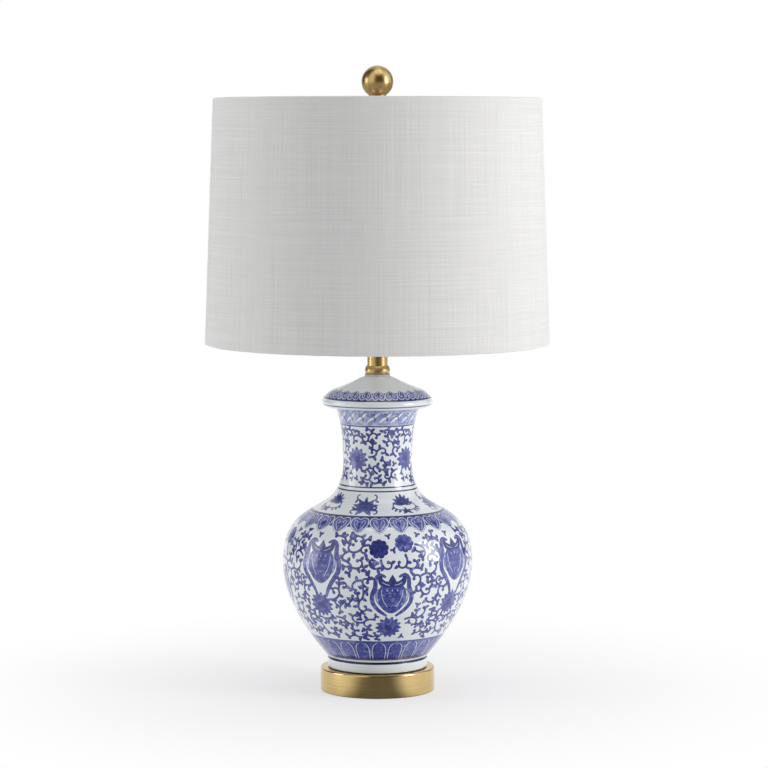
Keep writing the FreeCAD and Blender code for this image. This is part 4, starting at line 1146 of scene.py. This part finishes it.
# %% Metals
def turned_metal(name, dark, light, rough, lines, depth, anisotropy=0.0):
    """Lines: how much of the unevenness comes from turned lines, and not from clouds."""
    made, wire, shader = new_material(name)
    marks = use_group(wire, turned_lines)
    mix = wire.plus(wire.times(marks["Lines"], lines), wire.times(marks["Clouds"], 1.0 - lines))
    wire.fill(shader, {
        "Metallic": 1.0, "Anisotropic": anisotropy, "Anisotropic Rotation": 0.25,
        "Base Color": mixed(wire, mix, srgb(*dark), srgb(*light)), "Roughness": spread(wire, mix, *rough),
        "Normal": bump(wire, marks["Lines"], depth)})
    if anisotropy:
        wire.fill(shader, {"Tangent": wire.give("ShaderNodeTangent", direction_type="RADIAL", axis="Z")})
    return made


METALS = {  # dark, light, roughness, lines, depth of the bump in metres, anisotropy
    "brushed_brass": ((178, 144, 86), (250, 224, 162), (0.13, 0.21), 0.6, 0.000006, 0.6),
    "satin_brass": ((166, 132, 78), (230, 200, 140), (0.24, 0.34), 0.6, 0.00001, 0.5),
    "brass_plain": ((190, 152, 84), (236, 206, 140), (0.16, 0.34), 0.3, 0.00001),
    "zinc_steel": ((168, 170, 176), (214, 216, 220), (0.25, 0.45), 0.2, 0.00001),
    "thread_aluminium": ((190, 190, 192), (228, 228, 230), (0.2, 0.38), 0.5, 0.00001)}
materials.update({name: turned_metal(name, *row) for name, row in METALS.items()})
print("metals:", list(METALS))


# %% Linen
def linen(name, dark, light, depth):
    made, wire, shader = new_material(name)
    weave = use_group(wire, linen_weave)
    share = wire.remap(weave["Tone"], 0.36, 0.64)
    wire.fill(shader, {
        "Roughness": 0.92, "Sheen Weight": 0.25, "Sheen Roughness": 0.5, "IOR": 1.35,
        "Base Color": mixed(wire, share, srgb(*dark), srgb(*light)),
        "Normal": bump(wire, weave["Height"], depth)})
    return made


materials["linen"] = linen("linen", (217, 216, 214), (231, 230, 228), 0.00014)
print("linen:", len(materials["linen"].node_tree.nodes), "nodes")


# %% Plastics, felt, card, rubber
def grained(name, dark, light, rough, scale, depth, settings=None, stretch=(1, 1, 1)):
    """A material with an uneven grain: its colour, roughness and bump follow one noise."""
    made, wire, shader = new_material(name)
    place = wire.give("ShaderNodeMapping", {"Vector": object_place(wire), "Scale": stretch})
    fine, broad = noise(wire, place, scale, 4), noise(wire, place, scale / 9, 2)
    both = wire.times(wire.plus(fine, broad), 0.5)
    wire.fill(shader, {
        "Base Color": mixed(wire, spread(wire, both, 0, 1), srgb(*dark), srgb(*light)),
        "Roughness": spread(wire, both, *rough), "Normal": bump(wire, fine, depth), **(settings or {})})
    return made


GRAINED = {  # dark, light, roughness, scale, depth of the bump in metres, and what else it needs
    "felt": ((28, 28, 31), (58, 57, 60), (0.9, 1.0), 1800, 0.0004, {"Sheen Weight": 0.4}),
    "fibre_board": ((120, 98, 72), (162, 136, 104), (0.7, 0.9), 700, 0.0002),
    "card": ((150, 128, 92), (186, 162, 122), (0.6, 0.8), 900, 0.0001, {}, (1, 1, 0.2)),
    "black_rubber": ((22, 22, 23), (44, 44, 45), (0.5, 0.75), 1100, 0.00005),
    "grey_rubber": ((176, 178, 178), (214, 215, 214), (0.5, 0.7), 900, 0.00006),
    "black_plastic": ((18, 18, 19), (38, 38, 40), (0.3, 0.5), 1400, 0.00004),
    "white_plastic": ((228, 228, 224), (243, 243, 240), (0.3, 0.45), 900, 0.00003),
    "styrene": ((226, 225, 220), (240, 239, 235), (0.35, 0.5), 300, 0.00004),
    "white_wire": ((220, 220, 217), (240, 240, 238), (0.3, 0.5), 800, 0.00004),
    "opal_globe": ((238, 238, 234), (250, 250, 247), (0.3, 0.42), 500, 0.00002,
                   {"Subsurface Weight": 0.3, "Subsurface Scale": 0.004})}
materials.update({name: grained(name, *row) for name, row in GRAINED.items()})
print("others:", list(GRAINED))


# %% Each slot's material goes on its nodes
for node, slot in slot_of_node.items():
    mesh = frame["nodes"][node].data
    mesh.materials.clear()
    mesh.materials.append(materials[slot])
print(len(materials), "materials")

# %% [markdown]
# ## The jar and its lid
#
# The jar is built in two pieces that meet inside a painted line, which keeps each mesh light.
# Both are turned so that a low lotus head faces a little right of the front.

# %% The lid's painting
FIRST_ANGLE = math.radians(-36.0)
LID_BAND = (325.6, 334.2)  # mm above the table: the painted ring on the dome
LID_SPIGOT = 0.006  # m: the part of the lid that goes down into the mouth

lid_low, lid_high = (corner[2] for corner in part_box("jar_lid"))
lid_sheet = Sheet(climbing_outside("jar_lid", lid_low + LID_SPIGOT, lid_high))


def paint_lid(sheet):
    """A ring of small scallops that point up the dome, white-edged on a deep ground."""
    band(sheet, sheet.z[0], sheet.z[-1], GROUND)
    band(sheet, LID_BAND[0] - 1.5, LID_BAND[0], LINE)
    band(sheet, LID_BAND[0], LID_BAND[0] + 3.2, DEEP)
    foot, top = (sheet.row(z) for z in LID_BAND)
    ruyi_row(sheet, foot, top - foot, 1, (0.32, 0.1, 0.72))
    band(sheet, sheet.z[0] + 2.6, sheet.z[0] + 3.7, LINE)


paint_lid(lid_sheet)
print("lid outline", len(lid_sheet.z), "points;", len(lid_sheet.shapes), "outlines")

# %% Jar and lid as closed pieces
PARTING = 201.0  # mm above the table: inside the line between the ruyi heads and the shoulder


def painted_piece(name, node, sheet, low, high):
    quarter = painted_quarter(name, sheet, low, high)
    path = unseen_path(node, sheet, low, high)
    rest = add_object(name + "_rest", swept(name + "_rest", path, 4 * COLUMNS, closed=False))
    settings = {"Copies": 4, "First angle": FIRST_ANGLE, "Rest": rest,
                "Material": materials["painted_porcelain"]}
    piece = made_by_nodes(name, quarter, turned_copies, settings)
    bpy.data.objects.remove(rest)
    set_painted_normals(piece.data, sheet)
    outside = [(r * MM, z * MM) for r, z in zip(sheet.r, sheet.z) if low < z < high]
    unroll(piece.data, outside + path, FIRST_ANGLE)
    stand_for(piece, node)
    print(name, len(piece.data.polygons), "faces")
    return piece


painted_piece("jar_belly", "jar_body", jar_sheet, jar_sheet.z[0], PARTING)
painted_piece("jar_neck", "jar_body", jar_sheet, PARTING, jar_sheet.z[-1])
painted_piece("lid", "jar_lid", lid_sheet, lid_sheet.z[0], lid_sheet.z[-1])

# %% [markdown]
# ## Turned metal, rubber and glass
#
# These pieces are turned on a lathe, spun or moulded round, so their outlines from the frame
# are swept again with more steps than the frame's mesh has.

# %% Sweep the turned pieces again
TURNED = {"base_pan": 256, "base_felt": 192, "base_board": 192, "foot_gasket": 192, "lid_washer": 128,
          "neck_bead": 160, "neck_tube": 128, "neck_cap": 128, "harp_top": 96, "socket_cap": 96,
          "socket_shell": 96, "bulb_cap": 96, "bulb_housing": 128, "bulb_globe": 160,
          "spider_washer": 96, "finial_collar": 128, "finial_ball": 192, "shade_lining": 256}
# These are brushed more softly than the base.
SATIN = ("neck_bead", "neck_tube", "neck_cap", "finial_collar", "finial_ball")


def swept_again(node, segments):
    loop = outline_of(node)
    finish = "satin_brass" if node in SATIN else slot_of_node[node]
    piece = add_object(node + "_turned", swept(node + "_turned", loop, segments), materials[finish])
    unroll(piece.data, loop)
    stand_for(piece, node)
    return piece


def is_round(node):
    """A node whose swept outline has the volume of its solid has no hole or flat off the axis."""
    loop = outline_of(node)
    mesh = swept("trial", loop, 128)
    volumes = []
    for shape in (mesh, frame["nodes"][node].data):
        work = bmesh.new()
        work.from_mesh(shape)
        volumes.append(abs(work.calc_volume()))
        work.free()
    bpy.data.meshes.remove(mesh)
    return abs(volumes[0] / volumes[1] - 1) < 0.01


for node, segments in TURNED.items():
    if is_round(node):
        swept_again(node, segments)
    else:
        print(node, "keeps its own mesh")

# %% [markdown]
# ## The shade
#
# Linen is stretched round a stiff lining, folded over a wire ring at each edge and lapped at
# the back. Real linen has slubs, where a thread is thicker for a few centimetres. They're
# made by Geometry Nodes: short tapered threads lie on a flat strip, both ways, and the strip is
# then rolled into the shade's cone.

# %% The cloth and its hems
def outer_end(loop, end):
    """The outermost point at an outline's foot (end is min) or top (end is max)."""
    level = end(z for _, z in loop)
    return max((point for point in loop if abs(point[1] - level) < 1e-4), key=lambda point: point[0])


SUNK = 0.0002  # m: how far a piece that lies on another goes below its surface
cloth_loop = outline_of("shade_cloth")
cloth_foot, cloth_top = outer_end(cloth_loop, min), outer_end(cloth_loop, max)
cloth = swept_again("shade_cloth", 320)
cloth_height = cloth_top[1] - cloth_foot[1]


def folded_edge(node):
    """A hem: the fold's outline made round, and a little uneven along its length."""
    loop = smoothed(outline_of(node), closed=True)
    mesh = swept(node + "_folded", loop, 256)
    middle_r, middle_z = (sum(p[i] for p in loop) / len(loop) for i in (0, 1))
    for vertex in mesh.vertices:
        x, y, z = vertex.co
        turn, radius = math.atan2(y, x), math.hypot(x, y)
        swell = 1 + 0.02 * math.sin(23 * turn) * math.sin(9 * turn + 1) + 0.01 * math.sin(61 * turn)
        r = middle_r + (radius - middle_r) * swell
        vertex.co = (x * r / radius, y * r / radius, middle_z + (z - middle_z) * swell)
    piece = add_object(node + "_folded", mesh, materials["linen"])
    unroll(mesh, loop)
    stand_for(piece, node)
    return piece


hems = [folded_edge(node) for node in ("shade_hem_top", "shade_hem_bottom")]


# %% Slubs
def slubs_group():
    group, wire, given, result = new_group(
        "Slubs", "GeometryNodeTree",
        [("Geometry", "Geometry", None), ("Level threads", "Int", 620), ("Upright threads", "Int", 300),
         ("Thickness", "Float", 0.00016), ("Foot radius", "Float", 0.189), ("Top radius", "Float", 0.179),
         ("Foot height", "Float", 0.38), ("Height", "Float", 0.267), ("Seed", "Int", 7),
         ("Material", "Material", None)], [("Geometry", "Geometry")])

    def chance(low, high, number):
        settings = {2: low, 3: high, "Seed": wire.plus(given["Seed"], number)}
        return wire.node("FunctionNodeRandomValue", settings, data_type="FLOAT").outputs[1]

    threads = []
    for count, tip, first, longest in (("Level threads", (0.5, 0, 0), 0, (0.06, 0.34)),
                                       ("Upright threads", (0, 0.5, 0), 10, (0.04, 0.22))):
        spot = wire.vector(chance(-math.pi, math.pi, first), chance(0.03, 0.97, first + 1))
        spots = wire.give("GeometryNodePoints", {"Count": given[count], "Position": spot})
        line = wire.give("GeometryNodeCurvePrimitiveLine", {"Start": [-t for t in tip], "End": tip})
        fine = wire.give("GeometryNodeResampleCurve", {"Curve": line, "Count": 9})
        long = chance(*longest, first + 2)
        copies = wire.give("GeometryNodeInstanceOnPoints", {
            "Points": spots, "Instance": fine, "Scale": wire.vector(long, long, 1.0)})
        threads.append(wire.give("GeometryNodeRealizeInstances", {0: copies}))
    strip = wire.joined(*threads)

    turn, up, _ = wire.node("ShaderNodeSeparateXYZ", {0: wire.give("GeometryNodeInputPosition")}).outputs
    share = wire.give("ShaderNodeClamp", {0: up, 1: 0.02, 2: 0.98})
    widening = wire.minus(given["Top radius"], given["Foot radius"])
    radius = wire.plus(given["Foot radius"], wire.times(widening, share))
    rolled = wire.vector(wire.times(radius, wire.calc("SINE", turn)),
                         wire.times(radius, wire.times(wire.calc("COSINE", turn), -1.0)),
                         wire.plus(given["Foot height"], wire.times(given["Height"], share)))
    onto = wire.give("GeometryNodeSetPosition", {"Geometry": strip, "Position": rolled})
    along = wire.node("GeometryNodeSplineParameter").outputs["Factor"]
    taper = wire.plus(0.25, wire.calc("SINE", wire.times(along, math.pi)))
    section = wire.give("GeometryNodeCurvePrimitiveCircle", {"Resolution": 6, "Radius": 1.0})
    tubes = wire.give("GeometryNodeCurveToMesh", {
        "Curve": onto, "Profile Curve": section, "Fill Caps": True,
        "Scale": wire.times(taper, given["Thickness"])})
    wire.coat(result, tubes, given)
    return group


# The linen again, a little lighter as a painted highlight: a thick thread catches more light than its
# neighbours.
slub_highlight_linen = linen("linen_slub_highlight", (232, 231, 229), (246, 245, 243), 0.0001)
slub_settings = {"Foot radius": cloth_foot[0], "Top radius": cloth_top[0], "Foot height": cloth_foot[1],
                 "Height": cloth_height, "Material": slub_highlight_linen}
slubs = made_by_nodes("shade_slubs", bpy.data.meshes.new("shade_slubs"), slubs_group(), slub_settings)
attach(slubs, "shade")
print("slubs:", len(slubs.data.polygons), "faces")


# %% The lap at the back
def lap(name, half_angle, thickness, steps=10, rows=24):
    """A narrow doubled strip where the cloth's ends lie over each other, from hem to hem."""
    turns = [math.pi / 2 + half_angle * (2 * i / steps - 1) for i in range(steps + 1)]
    lifts = [thickness * min(1.0, 2.5 * math.sin(math.pi * i / steps)) for i in range(steps + 1)]
    edge = [*zip(turns, lifts), *((turn, -SUNK) for turn in reversed(turns))]
    shape = bmesh.new()
    rings = []
    for share in [0.012 + 0.976 * i / rows for i in range(rows + 1)]:
        radius, z = (foot + (top - foot) * share for foot, top in zip(cloth_foot, cloth_top))
        rings.append([shape.verts.new(((radius + lift) * math.cos(turn), (radius + lift) * math.sin(turn), z))
                      for turn, lift in edge])
    for low, high in zip(rings, rings[1:]):
        bridge(shape, low, high)
    shape.faces.new(rings[0][::-1])
    shape.faces.new(rings[-1])
    bmesh.ops.recalc_face_normals(shape, faces=shape.faces)
    piece = add_object(name, as_mesh(shape, name, 40), materials["linen"])
    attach(piece, "shade")
    return piece


back_lap = lap("shade_lap", 0.034, 0.0006)
print("lap:", len(back_lap.data.polygons), "faces")

# %% [markdown]
# ## Floor, light and camera
#
# The studio is plain: a pale floor, one large soft lamp at the right, a weaker one at the left
# and a weak one above. What the camera sees beyond is white. Metal sees white walls behind the
# lamp, at its right and at its left, and dim stretches between them and on the camera's side.

# %% Floor
FLOOR_REACH = 4.0  # m


def grey(level):
    return level, level, level, 1


def floor_material():
    """Pale near the lamp, with its shadow, and the backdrop's white farther off."""
    made, wire, shader = new_material("floor")
    wire.tree.nodes.remove(shader)
    matt = wire.give("ShaderNodeBsdfDiffuse", {"Color": grey(0.86)})
    white, dim = (wire.give("ShaderNodeEmission", {"Color": grey(level), "Strength": 1.0})
                  for level in (1, 0.08))
    path = wire.node("ShaderNodeLightPath").outputs
    seen = wire.larger(path["Is Camera Ray"], wire.larger(path["Is Glossy Ray"], path["Is Transmission Ray"]))
    radius, turn, _ = round_place(wire)
    far = wire.remap(radius, 0.10, 0.55, 0.55, 1.0, soft=True)
    pale = wire.give("ShaderNodeMixShader", {0: wire.times(seen, far), 1: matt, 2: white})
    side = wire.remap(wire.calc("ABSOLUTE", turn), math.radians(55), math.radians(20), soft=True)
    mirrored = wire.times(path["Is Glossy Ray"], wire.times(side, 0.9))
    dimmed = wire.give("ShaderNodeMixShader", {0: mirrored, 1: pale, 2: dim})
    wire.fill(wire.tree.nodes["Material Output"], {0: dimmed})
    return made


rings = [(FLOOR_REACH * (k / 8) ** 2, -0.0002) for k in range(8, -1, -1)]
floor = add_object("floor", swept("floor", rings, 64, closed=False), floor_material())
print("the floor reaches", FLOOR_REACH, "m from the lamp")


# %% Lamps and world
def soft_lamp(name, place, aim, width, height, watts):
    lamp = bpy.data.lights.new(name, "AREA")
    lamp.shape, lamp.size, lamp.size_y, lamp.energy = "RECTANGLE", width, height, watts
    holder = bpy.data.objects.new(name, lamp)
    holder.location = place
    holder.rotation_euler = (Vector(aim) - Vector(place)).to_track_quat("-Z", "Y").to_euler()
    bpy.context.scene.collection.objects.link(holder)


soft_lamp("key", (1.9, -0.7, 0.85), (0, 0, 0.38), 0.7, 1.2, 19)
soft_lamp("fill", (-2.1, -0.1, 0.6), (0, 0, 0.38), 0.9, 1.4, 11)
soft_lamp("top", (0.2, -0.5, 2.3), (0, 0, 0.3), 1.2, 1.2, 6)


def studio_world():
    """White where the camera looks; metal sees white walls with dim stretches between them."""
    world = bpy.data.worlds.new("studio")
    world.use_nodes = True
    world.node_tree.nodes.clear()
    wire = Wiring(world.node_tree)
    path = wire.node("ShaderNodeLightPath").outputs
    place = wire.node("ShaderNodeTexCoord").outputs["Generated"]
    x, y, _ = wire.node("ShaderNodeSeparateXYZ", {0: place}).outputs
    turn = turn_from_front(wire, x, y)

    def wall(middle, half, edge):
        """1 on a stretch of wall, by its turn from the camera's side, with soft ends."""
        off = wire.calc("ABSOLUTE", wire.minus(turn, math.radians(middle)))
        return wire.remap(off, math.radians(half + edge), math.radians(half), soft=True)

    back = wire.times(wire.larger(wall(180, 26, 18), wall(-180, 26, 18)), 0.8)
    lit = wire.larger(back, wire.larger(wall(88, 24, 22), wall(-46, 15, 20)))
    mirror = wire.larger(path["Is Glossy Ray"], path["Is Transmission Ray"])
    seen = mixed(wire, mirror, grey(1), mixed(wire, lit, (0.06, 0.06, 0.065, 1), grey(1)))
    around = mixed(wire, wall(0, 40, 60), (0.74, 0.75, 0.76, 1), (0.42, 0.42, 0.43, 1))
    colour = mixed(wire, wire.larger(path["Is Camera Ray"], mirror), around, seen)
    light = wire.give("ShaderNodeBackground", {"Color": colour, "Strength": 1.0})
    wire.node("ShaderNodeOutputWorld", {0: light})
    return world


bpy.context.scene.world = studio_world()
bpy.context.scene.view_settings.view_transform = "Standard"

# %% Camera
CAMERA_DISTANCE = 3.135  # m in front of the lamp's axis
CAMERA_HEIGHT = 0.6127  # m: the height at which ellipses close to lines in the photograph
AIM_HEIGHT = 0.3387  # m: what lies in the picture's middle
SIDE = 0.0072  # m: the lamp stands a little left of the middle
PIXELS_PER_RADIAN, PICTURE = 2861.0, 768

camera = bpy.data.cameras.new("camera")
camera.sensor_width = 36.0
camera.lens = camera.sensor_width * PIXELS_PER_RADIAN / PICTURE
viewer = bpy.data.objects.new("camera", camera)
viewer.location = (SIDE, -CAMERA_DISTANCE, CAMERA_HEIGHT)
pitch = math.atan2(AIM_HEIGHT - CAMERA_HEIGHT, CAMERA_DISTANCE)
viewer.rotation_euler = (math.pi / 2 + pitch, 0, 0)
bpy.context.scene.collection.objects.link(viewer)
bpy.context.scene.camera = viewer
print("lens", round(camera.lens, 1), "mm, pitch", round(math.degrees(pitch), 2), "degrees")
